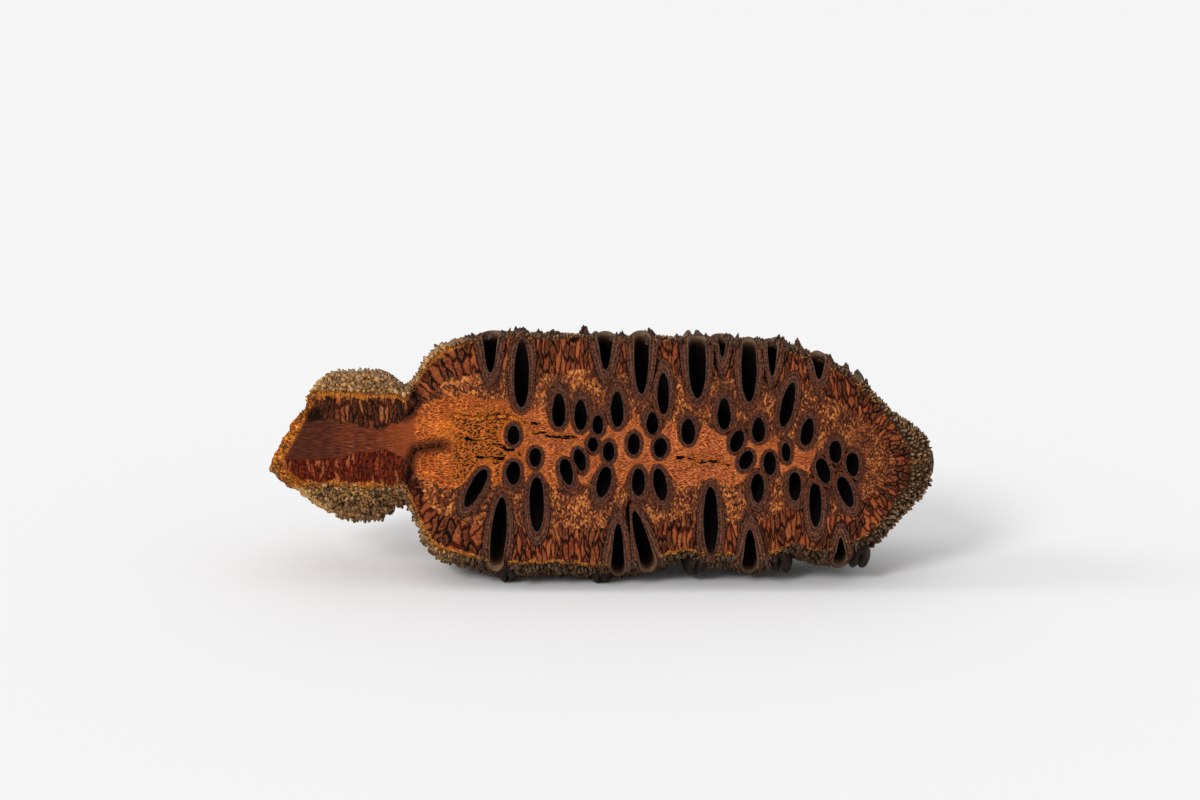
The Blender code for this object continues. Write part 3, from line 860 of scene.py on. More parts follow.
class Tree:
    """Adds nodes to a geometry node tree, in the order in which they are wired."""

    def __init__(self, name):
        self.tree = bpy.data.node_groups.new(name, "GeometryNodeTree")
        self.tree.interface.new_socket("Geometry", in_out="INPUT", socket_type="NodeSocketGeometry")
        self.tree.interface.new_socket("Geometry", in_out="OUTPUT", socket_type="NodeSocketGeometry")
        self.start = self.tree.nodes.new("NodeGroupInput")
        self.end = self.tree.nodes.new("NodeGroupOutput")

    def size(self, name, value):
        made = self.tree.interface.new_socket(name, in_out="INPUT", socket_type="NodeSocketFloat")
        made.default_value = value
        return made.identifier

    def node(self, kind, settings=None, links=None):
        made = self.tree.nodes.new(kind)
        for key, value in (settings or {}).items():
            setattr(made, key, value)
        for key, value in (links or {}).items():
            if isinstance(value, bpy.types.NodeSocket):
                self.tree.links.new(value, made.inputs[key])
            else:
                made.inputs[key].default_value = value
        return made

    def named(self, name, kind="FLOAT"):
        return self.node("GeometryNodeInputNamedAttribute", {"data_type": kind}, {0: name}).outputs[0]


def grow(thing, tree, sizes, name):
    """Runs a tree on an object and returns the result as a plain mesh object."""
    modifier = thing.modifiers.new(name, "NODES")
    modifier.node_group = tree
    for identifier, value in sizes.items():
        modifier[identifier] = value
    seen = thing.evaluated_get(bpy.context.evaluated_depsgraph_get())
    mesh = bpy.data.meshes.new_from_object(seen)
    made = bpy.data.objects.new(name, mesh)
    bpy.context.scene.collection.objects.link(made)
    remove(thing)
    return made


def tip_tree(surface):
    """A small four-sided tip on every point, turned to stand on the rind."""
    board = Tree("bract_tips")
    sizes = {
        board.size("Foot", 0.7): 0.68, board.size("Crown", 0.2): 0.20, board.size("Height", 1.2): 1.25,
    }
    foot, crown, height = (board.start.outputs[name] for name in ("Foot", "Crown", "Height"))
    peg = board.node(
        "GeometryNodeMeshCone", None,
        {"Vertices": 4, "Side Segments": 2, "Radius Top": crown, "Radius Bottom": foot, "Depth": height},
    )
    position = board.node("GeometryNodeInputPosition")
    place_z = board.node("ShaderNodeSeparateXYZ", None, {0: position.outputs[0]})
    marked = board.node(
        "GeometryNodeStoreNamedAttribute", {"data_type": "FLOAT", "domain": "POINT"},
        {"Geometry": peg.outputs[0], "Name": "rise", "Value": place_z.outputs["Z"]},
    )
    upright = board.node(
        "FunctionNodeAlignRotationToVector", {"axis": "Z"}, {"Vector": board.named("out", "FLOAT_VECTOR")}
    )
    lean = board.node("FunctionNodeRandomValue", {"data_type": "FLOAT_VECTOR"}, {"Seed": 4})
    lean.inputs["Min"].default_value = (-0.36, -0.36, -0.7)
    lean.inputs["Max"].default_value = (0.36, 0.36, 0.7)
    tilt = board.node("FunctionNodeEulerToRotation", None, {0: lean.outputs[0]})
    turned = board.node(
        "FunctionNodeRotateRotation", {"rotation_space": "LOCAL"}, {0: upright.outputs[0], 1: tilt.outputs[0]}
    )
    tips = board.node(
        "GeometryNodeInstanceOnPoints", None,
        {
            "Points": board.start.outputs[0], "Instance": marked.outputs[0], "Rotation": turned.outputs[0],
            "Scale": board.named("size"),
        },
    )
    real = board.node("GeometryNodeRealizeInstances", None, {0: tips.outputs[0]})
    wobble = board.node("ShaderNodeTexNoise", {"noise_dimensions": "3D"}, {"Scale": 1.7, "Detail": 2.0})
    shift = board.node("ShaderNodeVectorMath", {"operation": "SUBTRACT"}, {0: wobble.outputs["Color"]})
    shift.inputs[1].default_value = (0.5, 0.5, 0.5)
    smaller = board.node("ShaderNodeVectorMath", {"operation": "SCALE"}, {0: shift.outputs[0], "Scale": 0.9})
    moved = board.node(
        "GeometryNodeSetPosition", None, {"Geometry": real.outputs[0], "Offset": smaller.outputs[0]}
    )
    dressed = board.node("GeometryNodeSetMaterial", None, {"Geometry": moved.outputs[0], "Material": surface})
    board.tree.links.new(dressed.outputs[0], board.end.inputs[0])
    return board.tree, sizes


def build_tips(surface):
    """The bract tips that cover the rind, as two pieces along the cone."""
    spots, outs, sizes, along = tip_places()
    tree, inputs = tip_tree(surface)
    pieces = []
    first = along < HALVES_MEET
    for name, chosen in (("rind_tips_stalk_half", first), ("rind_tips_tip_half", ~first)):
        seeds = mesh_from(name + "_seeds", spots[chosen], [])
        layer = seeds.data.attributes.new("out", "FLOAT_VECTOR", "POINT")
        layer.data.foreach_set("vector", outs[chosen].astype(np.float32).ravel())
        give(seeds, size=sizes[chosen])
        pieces.append(grow(seeds, tree, inputs, name))
    return pieces


def edge_spots():
    """Places for torn fibre along the sawn edges and over the stalk's broken end: points and sizes."""
    k = np.arange(FIBRE_ON_EDGES)
    x = -103 + 207 * scatter(701, k)
    side = np.where(scatter(702, k) < 0.5, 1.0, -1.0)
    likely = 0.25 + 0.75 * (x < -50) + 0.45 * (side < 0)
    _, height, depth = station(BODY, x)
    angle = np.arccos(np.clip(depth / rind_radius(x, side * 1.2), -1, 1)) + 0.035 * scatter(703, k)
    angle = angle + 0.05 * (x < -45) * scatter(704, k)
    points = rind_point(x, side * angle, 0.5 * scatter(705, k) - 0.25)
    keep = (scatter(706, k) < likely) & (points[:, 1] > 0.25) & clear_of_mouths(x, side * angle)
    for point, outward in STALK_END:
        keep &= (points - np.array(point)) @ np.array(outward) < 0.2
    keep &= floor_height(points) > 0.7
    size = 0.45 + 0.75 * scatter(707, k)
    ends = []
    for number, (point, outward) in enumerate(STALK_END):
        k = np.arange(FIBRE_ON_END)
        out = np.array(outward)
        up = np.cross(out, (0, 1, 0))
        up = up / np.linalg.norm(up)
        reach = 50 * scatter(711 + number, k) - 25
        deep = 42 * scatter(713 + number, k)
        end = np.array(point) + reach[:, None] * up + deep[:, None] * np.array((0, 1, 0))
        end = end + (0.9 * scatter(715 + number, k) - 0.9)[:, None] * out
        _, height, depth = station(BODY, end[:, 0])
        inside = np.hypot(end[:, 1] - depth, end[:, 2] - height) < rind_radius(end[:, 0], 0 * k) - 0.4
        inside &= end[:, 1] > 0.4
        other_point, other_out = STALK_END[1 - number]
        inside &= (end - np.array(other_point)) @ np.array(other_out) < 0.1
        ends.append(end[inside])
    ends = np.concatenate(ends)
    points = np.concatenate((points[keep], ends))
    return points, np.concatenate((size[keep], 0.7 + 1.0 * scatter(719, np.arange(len(ends)))))


def crumb_tree(surface):
    """A small slanted splinter on every point, each turned its own way."""
    board = Tree("torn_fibre")
    sizes = {board.size("Thickness", 0.3): 0.36, board.size("Length", 1.2): 1.25}
    thickness, length = (board.start.outputs[name] for name in ("Thickness", "Length"))
    splinter = board.node(
        "GeometryNodeMeshCone", None,
        {"Vertices": 4, "Side Segments": 2, "Radius Top": 0.08, "Radius Bottom": thickness, "Depth": length},
    )
    turn = board.node("FunctionNodeRandomValue", {"data_type": "FLOAT_VECTOR"}, {"Seed": 9})
    turn.inputs["Min"].default_value = (-1.1, -2.2, -3.1)
    turn.inputs["Max"].default_value = (1.1, -0.6, 3.1)
    spread = board.node(
        "GeometryNodeInstanceOnPoints", None,
        {
            "Points": board.start.outputs[0], "Instance": splinter.outputs[0], "Rotation": turn.outputs[0],
            "Scale": board.named("size"),
        },
    )
    real = board.node("GeometryNodeRealizeInstances", None, {0: spread.outputs[0]})
    dressed = board.node("GeometryNodeSetMaterial", None, {"Geometry": real.outputs[0], "Material": surface})
    board.tree.links.new(dressed.outputs[0], board.end.inputs[0])
    return board.tree, sizes


def build_crumbs(surface):
    """Torn fibre along the sawn edges and on the stalk's end."""
    points, sizes = edge_spots()
    tree, inputs = crumb_tree(surface)
    seeds = mesh_from("torn_fibre_seeds", points, [])
    give(seeds, size=sizes)
    return grow(seeds, tree, inputs, "torn_fibre")


def blade_levels():
    """Up one side of a blade, which is 1, and down the other, -1, with the share of its height."""
    up = [level / (BLADE_LEVELS - 1) for level in range(BLADE_LEVELS)]
    return [(1, share) for share in up] + [(-1, 1 - share) for share in up]


def edge_splinters():
    """Ragged splinters along the crest, just behind the upper sawn edge: points and faces of each."""
    along = np.linspace(-1, 1, SPLINTER_COLUMNS)
    skins = []
    for number, (x, half_width, tall, lean) in enumerate(EDGE_SPLINTERS):
        here = x + half_width * along
        angle = CREST_ANGLE - 0.16 * scatter(840, number) + 0 * along
        foot = rind_point(here, angle, -1.0)
        out = np.stack((0 * along, -np.cos(angle), np.sin(angle)), axis=-1)
        back = np.stack((0 * along, np.sin(angle), np.cos(angle)), axis=-1)
        peak = (1 - np.abs(along) ** 1.7) * (0.85 + 0.5 * rough(830 + number, along * 3.4, 0.0))
        rings = []
        for side, share in blade_levels():
            rise = (1.0 + tall * np.clip(peak, 0.05, 1.1)) * share
            point = foot + rise[:, None] * out
            point[:, 0] += lean * tall * share**1.5
            bend = 0.9 * share * noise(850 + number, along * 1.6, share) - side * 0.42 * (1 - share) ** 0.6
            point += bend[:, None] * back
            rings.append(point)
        grid = np.stack(rings, axis=1)
        skins.append(tube_skin(grid, grid[0].mean(axis=0), grid[-1].mean(axis=0)))
    return skins


def build_flakes():
    """Ragged, outward-curling blades of valve wood beside the mouths that the saw opened, and splinters."""
    rows = BLADE_COLUMNS
    skins = []
    for fruit in follicles:
        if fruit.crossing < FLAKED_FROM:
            continue
        side_angle = math.copysign(1.0, fruit.angle)
        for side in (-1, 1):
            seed = 800 + fruit.number * 2 + (side > 0)
            tall = 2.0 + 2.6 * scatter(seed, 1) ** 1.5
            long = 2.5 + 4.5 * scatter(seed, 2)
            edge = fruit.half_width * 1.33 * 1.3 + fruit.wall(fruit.mouth) * 0.72
            y = 0.25 + long * np.linspace(0, 1, rows)
            x = fruit.x + side * (edge + 0.3 * noise(seed + 3, y / 2.0, 0.0))
            depth = station(BODY, np.array([float(fruit.x)]))[2][0]
            radius = rind_radius(x, np.full(rows, side_angle))
            angle = np.arccos(np.clip((depth - y) / radius, -1, 1)) * side_angle
            foot = rind_point(x, angle, -1.2)
            out = np.stack((0 * y, -np.cos(angle), np.sin(angle)), axis=-1)
            ragged = 0.75 + 0.40 * rough(seed + 5, y / 0.9, 0.0) - 0.55 * np.linspace(0, 1, rows)
            ragged = np.clip(ragged, 0.12, 1.1)
            rings = []
            for face, share in blade_levels():
                rise = (1.2 + tall * ragged) * share
                thick = 0.85 * (1 - share) ** 0.7 + 0.05
                point = foot + rise[:, None] * out
                point[:, 0] += side * share**2 + face * thick
                rings.append(point)
            grid = np.stack(rings, axis=1)
            points, faces = tube_skin(grid, grid[0].mean(axis=0), grid[-1].mean(axis=0))
            lift = np.maximum(0.1 - floor_height(points), 0)
            skins.append((points + lift[:, None] * np.array(TO_PART)[2], faces))
    return joined("mouth_flakes", skins + edge_splinters())


def build_stray_fibre():
    """One loose fibre that lies against the shoulder."""
    path = np.array(((-73.0, 6.0, 26.2), (-70.0, 6.4, 25.2), (-67.2, 7.2, 23.4), (-64.4, 8.0, 21.0)))
    turn = np.linspace(0, 2 * math.pi, 6, endpoint=False)
    rings = []
    for share in np.linspace(0, 1, 13):
        point = np.array([np.interp(share * 3, range(4), path[:, axis]) for axis in range(3)])
        thick = 0.28 - 0.12 * share
        rings.append(point + thick * np.stack((0.5 * np.sin(turn), np.cos(turn), np.sin(turn)), axis=-1))
    points, faces = tube_skin(np.stack(rings), path[0], path[-1])
    return face_out(mesh_from("stray_fibre", points, faces))


# ---- materials -------------------------------------------------------------------------------------------

class Value:
    """A socket that can be used in sums."""

    def __init__(self, paint, socket):
        self.paint = paint
        self.socket = socket

    def _sum(self, operation, first, second):
        made = self.paint.node("ShaderNodeMath", {"operation": operation}, {0: first, 1: second})
        return Value(self.paint, made)

    def __add__(self, other):
        return self._sum("ADD", self, other)

    def __radd__(self, other):
        return self._sum("ADD", other, self)

    def __sub__(self, other):
        return self._sum("SUBTRACT", self, other)

    def __rsub__(self, other):
        return self._sum("SUBTRACT", other, self)

    def __mul__(self, other):
        return self._sum("MULTIPLY", self, other)

    def __rmul__(self, other):
        return self._sum("MULTIPLY", other, self)

    def __truediv__(self, other):
        return self._sum("DIVIDE", self, other)

    def __pow__(self, other):
        return self._sum("POWER", self, other)


class Paint:
    """One material and its nodes."""

    def __init__(self, name, roughness=0.7, specular=0.35):
        self.material = bpy.data.materials.new(name)
        self.material.use_nodes = True
        self.tree = self.material.node_tree
        self.shader = self.tree.nodes["Principled BSDF"]
        self.shader.inputs["Roughness"].default_value = roughness
        self.shader.inputs["Specular IOR Level"].default_value = specular
        self.place = self.node(
            "ShaderNodeMapping", {"vector_type": "POINT"},
            {
                "Vector": self.node("ShaderNodeTexCoord", output="Object"),
                "Rotation": (LEAN, 0, 0), "Scale": (1 / MM, 1 / MM, 1 / MM),
                "Location": tuple(-(TO_PART.transposed() @ CONE_ORIGIN) / MM),
            },
        )

    def node(self, kind, settings=None, sockets=None, output=0):
        """Adds a node: its settings first, then its sockets' values or links. Returns one output."""
        made = self.tree.nodes.new(kind)
        for key, value in (settings or {}).items():
            if key == "stops":
                self._set_stops(made.color_ramp, value)
            else:
                setattr(made, key, value)
        for key, value in (sockets or {}).items():
            value = value.socket if isinstance(value, Value) else value
            if isinstance(value, bpy.types.NodeSocket):
                self.tree.links.new(value, made.inputs[key])
            else:
                made.inputs[key].default_value = value
        return made.outputs[output]

    def _set_stops(self, ramp, stops):
        while len(ramp.elements) < len(stops):
            ramp.elements.new(0.5)
        for element, (position, colour) in zip(ramp.elements, stops):
            element.position = position
            element.color = (*colour, 1)

    def read(self, name):
        """A measure that is stored at the mesh's points."""
        return Value(self, self.node("ShaderNodeAttribute", {"attribute_name": name}, output="Fac"))

    def part(self, vector, axis):
        """One coordinate of a vector."""
        return Value(self, self.node("ShaderNodeSeparateXYZ", None, {0: vector}, output=axis))

    def spot(self, u, v, w=0.0):
        """A vector from its coordinates."""
        return self.node("ShaderNodeCombineXYZ", None, {0: u, 1: v, 2: w})

    def stretched(self, along, deep, up):
        """The place in the cone's frame, in millimetres, times these."""
        settings = {"operation": "MULTIPLY"}
        return self.node("ShaderNodeVectorMath", settings, {0: self.place, 1: (along, deep, up)})

    def _cells(self, vector, feature, randomness, output):
        return self.node(
            "ShaderNodeTexVoronoi", {"voronoi_dimensions": "2D", "feature": feature},
            {"Vector": vector, "Scale": 1.0, "Randomness": randomness}, output=output,
        )

    def cell_distance(self, vector, feature, randomness=1.0):
        """In a plane of packed cells: the distance to a cell's edge, or with F1 to its middle."""
        return Value(self, self._cells(vector, feature, randomness, "Distance"))

    def cell_number(self, vector, randomness=1.0):
        """A number from 0 to 1 for each packed cell."""
        return self.part(self._cells(vector, "F1", randomness, "Color"), "X")

    def noise(self, vector, scale=1.0, detail=3.0, roughness=0.6, distortion=0.0):
        return Value(self, self.node(
            "ShaderNodeTexNoise", {"noise_dimensions": "3D"},
            {
                "Vector": vector, "Scale": scale, "Detail": detail, "Roughness": roughness,
                "Distortion": distortion,
            },
        ))

    def step(self, value, low, high):
        """0 where the value is low, 1 where it is high."""
        return Value(self, self.node(
            "ShaderNodeMapRange", {"interpolation_type": "SMOOTHSTEP"},
            {"Value": value, "From Min": low, "From Max": high, "To Min": 0.0, "To Max": 1.0},
        ))

    def ramp(self, value, *stops):
        """A colour for each value: each stop is a value and its colour."""
        return self.node("ShaderNodeValToRGB", {"stops": stops}, {0: value})

    def blend(self, share, first, second, kind="MIX"):
        """The first colour where the share is 0 and the second where it is 1."""
        first, second = ((*c, 1) if isinstance(c, tuple) else c for c in (first, second))
        return self.node(
            "ShaderNodeMix", {"data_type": "RGBA", "blend_type": kind, "clamp_factor": True},
            {0: share, 6: first, 7: second}, output=2,
        )

    def deepen(self, colour, gamma, gain):
        """Darker darks and fuller colour, with the middle kept by the gain."""
        colour = self.node("ShaderNodeGamma", None, {"Color": colour, "Gamma": gamma})
        return self.node("ShaderNodeVectorMath", {"operation": "SCALE"}, {0: colour, "Scale": gain})

    def finish(self, colour, bump, distance, strength):
        """Joins the colour and a relief, whose depth is in millimetres, to the shader."""
        self.tree.links.new(colour, self.shader.inputs["Base Color"])
        relief = {"Height": bump, "Distance": distance * MM, "Strength": strength}
        self.tree.links.new(self.node("ShaderNodeBump", None, relief), self.shader.inputs["Normal"])
        return self.material


def sawn_paint(name):
    """The sawn face's wood, bracts, cracks and golden edges, and behind it the rind and the torn end."""
    paint = Paint(name, 0.85, 0.09)
    along = paint.part(paint.place, "X")
    up = paint.part(paint.place, "Z")
    fine = paint.noise(paint.stretched(1.0, 0.5, 1.0), 2.7, 3.0, 0.75)
    ragged = paint.noise(paint.place, 0.9, 4.0, 0.7)
    patch = paint.noise(paint.place, 0.17, 3.0, 0.6)
    wood = paint.step(paint.read("wood") + (ragged - 0.5) * 1.1, 0.42, 0.58)
    outer = paint.step(paint.read("outer") + (ragged - 0.5) * 0.8, 0.4, 0.6)
    gap = paint.read("gap")
    stalk = paint.read("stalk")

    core_colour, core_height = core_wood(paint, along, up, gap, fine, patch, stalk, ragged)
    bract_colour, bract_height = packed_bracts(paint, along, up, outer, fine, ragged, patch, stalk, gap)
    colour = paint.blend(wood, bract_colour, core_colour)
    colour = edges_and_cracks(paint, colour, along, up, fine, ragged)

    rind_colour = rind_base(paint, along, fine)
    torn_colour = paint.ramp(
        fine * 0.6 + ragged * 0.4, (0.34, (0.02, 0.007, 0.004)), (0.46, (0.16, 0.05, 0.014)),
        (0.54, (0.42, 0.17, 0.035)), (0.66, (0.66, 0.33, 0.08)),
    )
    torn_colour = paint.blend(paint.step(patch, 0.48, 0.60) * 0.6, torn_colour, (0.11, 0.032, 0.010))
    torn_colour = paint.blend(paint.step(ragged, 0.50, 0.40) * 0.65, torn_colour, (0.045, 0.013, 0.006))
    beyond = paint.blend(paint.read("torn"), (0.016, 0.007, 0.005), torn_colour)
    beyond = paint.blend(paint.read("rind"), beyond, rind_colour)
    colour = paint.blend(paint.read("on_face"), beyond, colour)
    colour = paint.deepen(colour, 1.20, 1.50)
    height = core_height * wood + bract_height * (1 - wood)
    return paint.finish(colour, height, distance=0.6, strength=1.0)


def core_wood(paint, along, up, gap, fine, patch, stalk, ragged):
    """Fibres that bend round the follicles, with a spongy golden net at the stalk's end of the core."""
    grain = paint.read("grain")
    weave = paint.noise(paint.stretched(0.35, 0.2, 0.35), 1.0, 2.0)
    woven = grain + (weave - 0.5) * 1.5
    fibre = paint.noise(paint.spot(along * 0.50, woven * 2.9), 1.0, 4.0, 0.75, 0.9)
    colour = paint.ramp(
        fibre, (0.38, (0.035, 0.006, 0.003)), (0.45, (0.15, 0.028, 0.008)), (0.51, (0.38, 0.092, 0.021)),
        (0.60, (0.78, 0.280, 0.068)),
    )
    web_place = paint.spot(along * 0.55 + (weave - 0.5) * 1.2, woven * 1.35 + (fine - 0.5) * 0.4)
    web = paint.cell_distance(web_place, "DISTANCE_TO_EDGE")
    colour = paint.blend(paint.step(web, 0.14, 0.34) * 0.55, colour, (0.070, 0.013, 0.006))
    colour = paint.blend(paint.step(web, 0.12, 0.03) * 0.60, colour, (0.70, 0.225, 0.050))
    colour = paint.blend(paint.step(fine, 0.53, 0.66) * 0.45, colour, (0.10, 0.020, 0.007))
    colour = paint.blend(paint.step(patch, 0.45, 0.62) * 0.35, colour, (0.20, 0.042, 0.013))
    ring = paint.step(gap, 1.5, 0.2) * paint.step(gap, -0.3, 0.0)
    colour = paint.blend(ring * paint.step(fine, 0.40, 0.58) * 0.55, colour, (0.50, 0.165, 0.032))

    colour = paint.blend(paint.step(along, -38.0, -15.0), colour, (0.94, 1.0, 1.42), "MULTIPLY")

    # Slanting rows of small holes with golden rims; the holes are painted near-black as painted shade inside
    # them.
    net = paint.spot(
        (along + up * 0.8) * 0.52 + (weave - 0.5) * 2.4,
        (up - along * 0.45) * 0.98 + (fine - 0.5) * 0.5,
    )
    hole_edge = paint.cell_distance(net, "F1", 0.75)
    spongy = paint.step(paint.read("spongy") + (patch - 0.5) * 1.3, 0.20, 0.95)
    hole_edge = hole_edge + (fine - 0.5) * 0.5 + (1 - spongy) * 0.30 + (ragged - 0.5) * 0.9
    rim = paint.step(hole_edge, 0.60, 0.44) * spongy
    hole = paint.step(hole_edge, 0.38, 0.26) * spongy
    colour = paint.blend(spongy * 0.30, colour, (0.34, 0.090, 0.016))
    colour = paint.blend(rim * 0.60, colour, (0.60, 0.205, 0.030))
    # Painted shade in the holes.
    colour = paint.blend(hole * 0.92, colour, (0.016, 0.005, 0.002))
    from_glow = ((along + 51.0) * (along + 51.0) + (up - 6.0) * (up - 6.0)) ** 0.5
    glow = paint.step(patch * 7.0 + from_glow, 10.0, 4.5)
    colour = paint.blend(glow * paint.step(fine, 0.42, 0.6) * 0.65, colour, (0.66, 0.215, 0.024))

    line = paint.noise(paint.stretched(0.30, 0.4, 3.4), 1.0, 3.0, 0.65)
    stalk_colour = paint.ramp(
        line, (0.34, (0.035, 0.012, 0.008)), (0.48, (0.105, 0.028, 0.013)), (0.62, (0.20, 0.058, 0.022)),
        (0.75, (0.34, 0.12, 0.045)),
    )
    dark_end = paint.step(along, -82.0, -90.0)
    stalk_colour = paint.blend(dark_end * 0.5, stalk_colour, (0.035, 0.013, 0.010))
    orange_end = paint.step(along + (fine - 0.5) * 12.0, -76.0, -58.0)
    stalk_colour = paint.blend(orange_end * 0.65, stalk_colour, (0.30, 0.080, 0.020))
    colour = paint.blend(paint.step(stalk + (fine - 0.5) * 0.6, 0.2, 0.8), colour, stalk_colour)
    height = fibre * 0.6 + fine * 0.2 + paint.step(web, 0.3, 0.0) * 0.25 - hole * 1.2 + rim * 0.25
    return colour, height * (1 - stalk * 0.5)


def packed_bracts(paint, along, up, outer, fine, ragged, patch, stalk, gap):
    """Granular flecks near the core, and lozenge-shaped columns below the rind with painted shade in the
    black gaps between them.
    """
    u = paint.read("u") + (ragged - 0.5) * 1.1
    v = paint.read("v") + (fine - 0.5) * 1.0
    shift = paint.noise(paint.spot(u * 0.75, 0.0, 3.7), 1.0, 0.0)
    columns = paint.spot(u * 0.64, (v + shift * 11.0) * 0.165)
    column_edge = paint.cell_distance(columns, "DISTANCE_TO_EDGE", 0.8)
    pick = paint.cell_number(columns, 0.8)
    streak = paint.noise(paint.spot(u * 3.6, v * 0.9), 1.0, 4.0, 0.78)
    column_colour = paint.ramp(
        pick * 0.30 + streak * 0.70, (0.32, (0.028, 0.008, 0.005)), (0.43, (0.085, 0.022, 0.010)),
        (0.53, (0.19, 0.056, 0.022)), (0.68, (0.40, 0.150, 0.058)),
    )
    lit = paint.step(column_edge, 0.12, 0.18) * paint.step(column_edge, 0.32, 0.2)
    column_colour = paint.blend(lit * streak * 0.7, column_colour, (0.38, 0.145, 0.050))
    # Painted shade in the gaps between the columns.
    slot = paint.step(column_edge + (fine - 0.5) * 0.22 - (patch - 0.5) * 0.25, 0.15, 0.06)
    column_colour = paint.blend(slot * 0.97, column_colour, (0.006, 0.003, 0.002))
    stain = paint.step(patch * 0.6 + pick * 0.4, 0.46, 0.62)
    column_colour = paint.blend(stain * 0.35, column_colour, (0.16, 0.020, 0.006))
    red = paint.step(streak, 0.42, 0.58) * stalk * paint.step(up, 4.0, -2.0)
    column_colour = paint.blend(red * 0.75, column_colour, (0.26, 0.030, 0.006))
    gloom = paint.step(ragged, 0.54, 0.40) * stalk * paint.step(up, 4.0, -2.0)
    column_colour = paint.blend(gloom * 0.75, column_colour, (0.025, 0.005, 0.003))
    upper = stalk * paint.step(up, -2.0, 4.0)
    column_colour = paint.blend(upper * 0.30, column_colour, (0.070, 0.022, 0.010))
    pale = stalk * paint.step(pick, 0.60, 0.70) * paint.step(column_edge, 0.10, 0.2)
    column_colour = paint.blend(pale * 0.55, column_colour, (0.40, 0.155, 0.060))
    between = paint.step(streak, 0.52, 0.40) * stalk
    column_colour = paint.blend(between * 0.85, column_colour, (0.012, 0.003, 0.002))

    grain_pick = paint.cell_number(paint.spot(u * 2.3, v * 1.25))
    far_side = paint.step(along, 45.0, 80.0)
    grain_value = grain_pick * 0.36 + streak * 0.55 + fine * 0.45 + (patch - 0.5) * 0.45 - far_side * 0.05
    grain_colour = paint.ramp(
        grain_value, (0.48, (0.040, 0.014, 0.010)), (0.60, (0.105, 0.033, 0.016)),
        (0.70, (0.20, 0.064, 0.024)), (0.79, (0.38, 0.135, 0.040)), (0.92, (0.62, 0.27, 0.085)),
    )
    near = paint.step(gap + (ragged - 0.5) * 2.2, 1.5, 0.1)
    grain_colour = paint.blend(near * 0.75, grain_colour, (0.045, 0.020, 0.016))
    colour = paint.blend(outer, grain_colour, column_colour)
    height = paint.step(column_edge, 0.02, 0.26) * outer + (grain_value * 0.9) * (1 - outer) + fine * 0.25
    return colour, height


def edges_and_cracks(paint, colour, along, up, fine, ragged):
    """Cracks painted black as painted shade inside them, the raised golden one, the crevice at the shoulder
    with painted shade in it, and the ochre line below the rind.
    """
    from_edge = paint.read("from_edge") + (ragged - 0.5) * 1.6
    low = paint.step(up, -8.0, -20.0)
    left = paint.step(along, -38.0, -52.0)
    uneven = paint.noise(paint.place, 0.33, 2.0)
    band = low * 0.15 + left * 0.6 + (uneven - 0.5) * 5.0
    right = paint.step(along, 50.0, 66.0)
    gilt = paint.step(from_edge - band, 0.35, -0.25) * (1 - right)
    gold = paint.ramp(
        fine, (0.36, (0.06, 0.018, 0.006)), (0.50, (0.34, 0.115, 0.022)), (0.66, (0.66, 0.31, 0.07)),
    )
    dull = paint.ramp(fine, (0.38, (0.03, 0.012, 0.008)), (0.6, (0.25, 0.09, 0.03)))
    gold = paint.blend(paint.step(low + left, 0.1, 0.8), dull, gold)
    colour = paint.blend(gilt, colour, gold)
    gold_gap = paint.read("gold_gap") + (ragged - 0.5) * 2.2 + (fine - 0.5) * 0.5
    gold_gap = gold_gap + (uneven - 0.5) * 1.6
    amber = paint.ramp(
        fine, (0.38, (0.16, 0.035, 0.006)), (0.52, (0.58, 0.180, 0.020)), (0.64, (0.80, 0.34, 0.05)),
    )
    colour = paint.blend(paint.step(gold_gap, 1.0, 0.7) * 0.85, colour, (0.030, 0.008, 0.004))
    colour = paint.blend(paint.step(gold_gap, 0.62, 0.38), colour, amber)
    bulge = paint.noise(paint.stretched(0.28, 1, 0.9), 1.0, 1.0)
    black_gap = paint.read("black_gap") + (ragged - 0.5) * 1.5 + (fine - 0.5) * 0.7 + (0.52 - bulge) * 2.6
    colour = paint.blend(paint.step(black_gap, 1.0, 0.6) * 0.6, colour, (0.50, 0.17, 0.03))
    # Painted shade: the cracks are near-black inside.
    colour = paint.blend(paint.step(black_gap, 0.55, 0.38), colour, (0.004, 0.002, 0.002))
    tear = paint.read("tear") + (ragged - 0.5) * 2.6
    torn = paint.ramp(
        fine * 0.5 + ragged * 0.5, (0.38, (0.025, 0.008, 0.004)), (0.47, (0.20, 0.055, 0.012)),
        (0.54, (0.52, 0.20, 0.030)), (0.64, (0.76, 0.36, 0.07)),
    )
    colour = paint.blend(paint.step(tear, 2.6, 1.4), colour, torn)
    # Painted shade in the pit near the stalk's end.
    pit_shade = paint.step(paint.read("hollow") + (ragged - 0.5) * 0.8, 0.35, 0.65)
    colour = paint.blend(pit_shade * 0.85, colour, (0.020, 0.007, 0.004))
    shoulder = paint.read("shoulder") + (ragged - 0.5) * 2.4
    colour = paint.blend(paint.step(shoulder, 3.6, 1.0) * 0.7, colour, (0.036, 0.012, 0.008))
    # Painted shade: the crevice at the shoulder is near-black inside.
    return paint.blend(paint.step(shoulder + (fine - 0.5) * 0.8, 0.45, 0.15), colour, (0.004, 0.002, 0.002))


def rind_base(paint, along, fine):
    """What shows between the bract tips: dark brown on the body, golden tan on the stalk's side."""
    dark = paint.ramp(
        fine, (0.34, (0.026, 0.014, 0.008)), (0.5, (0.095, 0.052, 0.028)), (0.68, (0.25, 0.15, 0.08)),
    )
    golden = paint.ramp(
        fine, (0.32, (0.085, 0.040, 0.014)), (0.47, (0.40, 0.22, 0.075)), (0.62, (0.70, 0.47, 0.22)),
    )
    return paint.blend(paint.step(along, -42.0, -54.0), dark, golden)


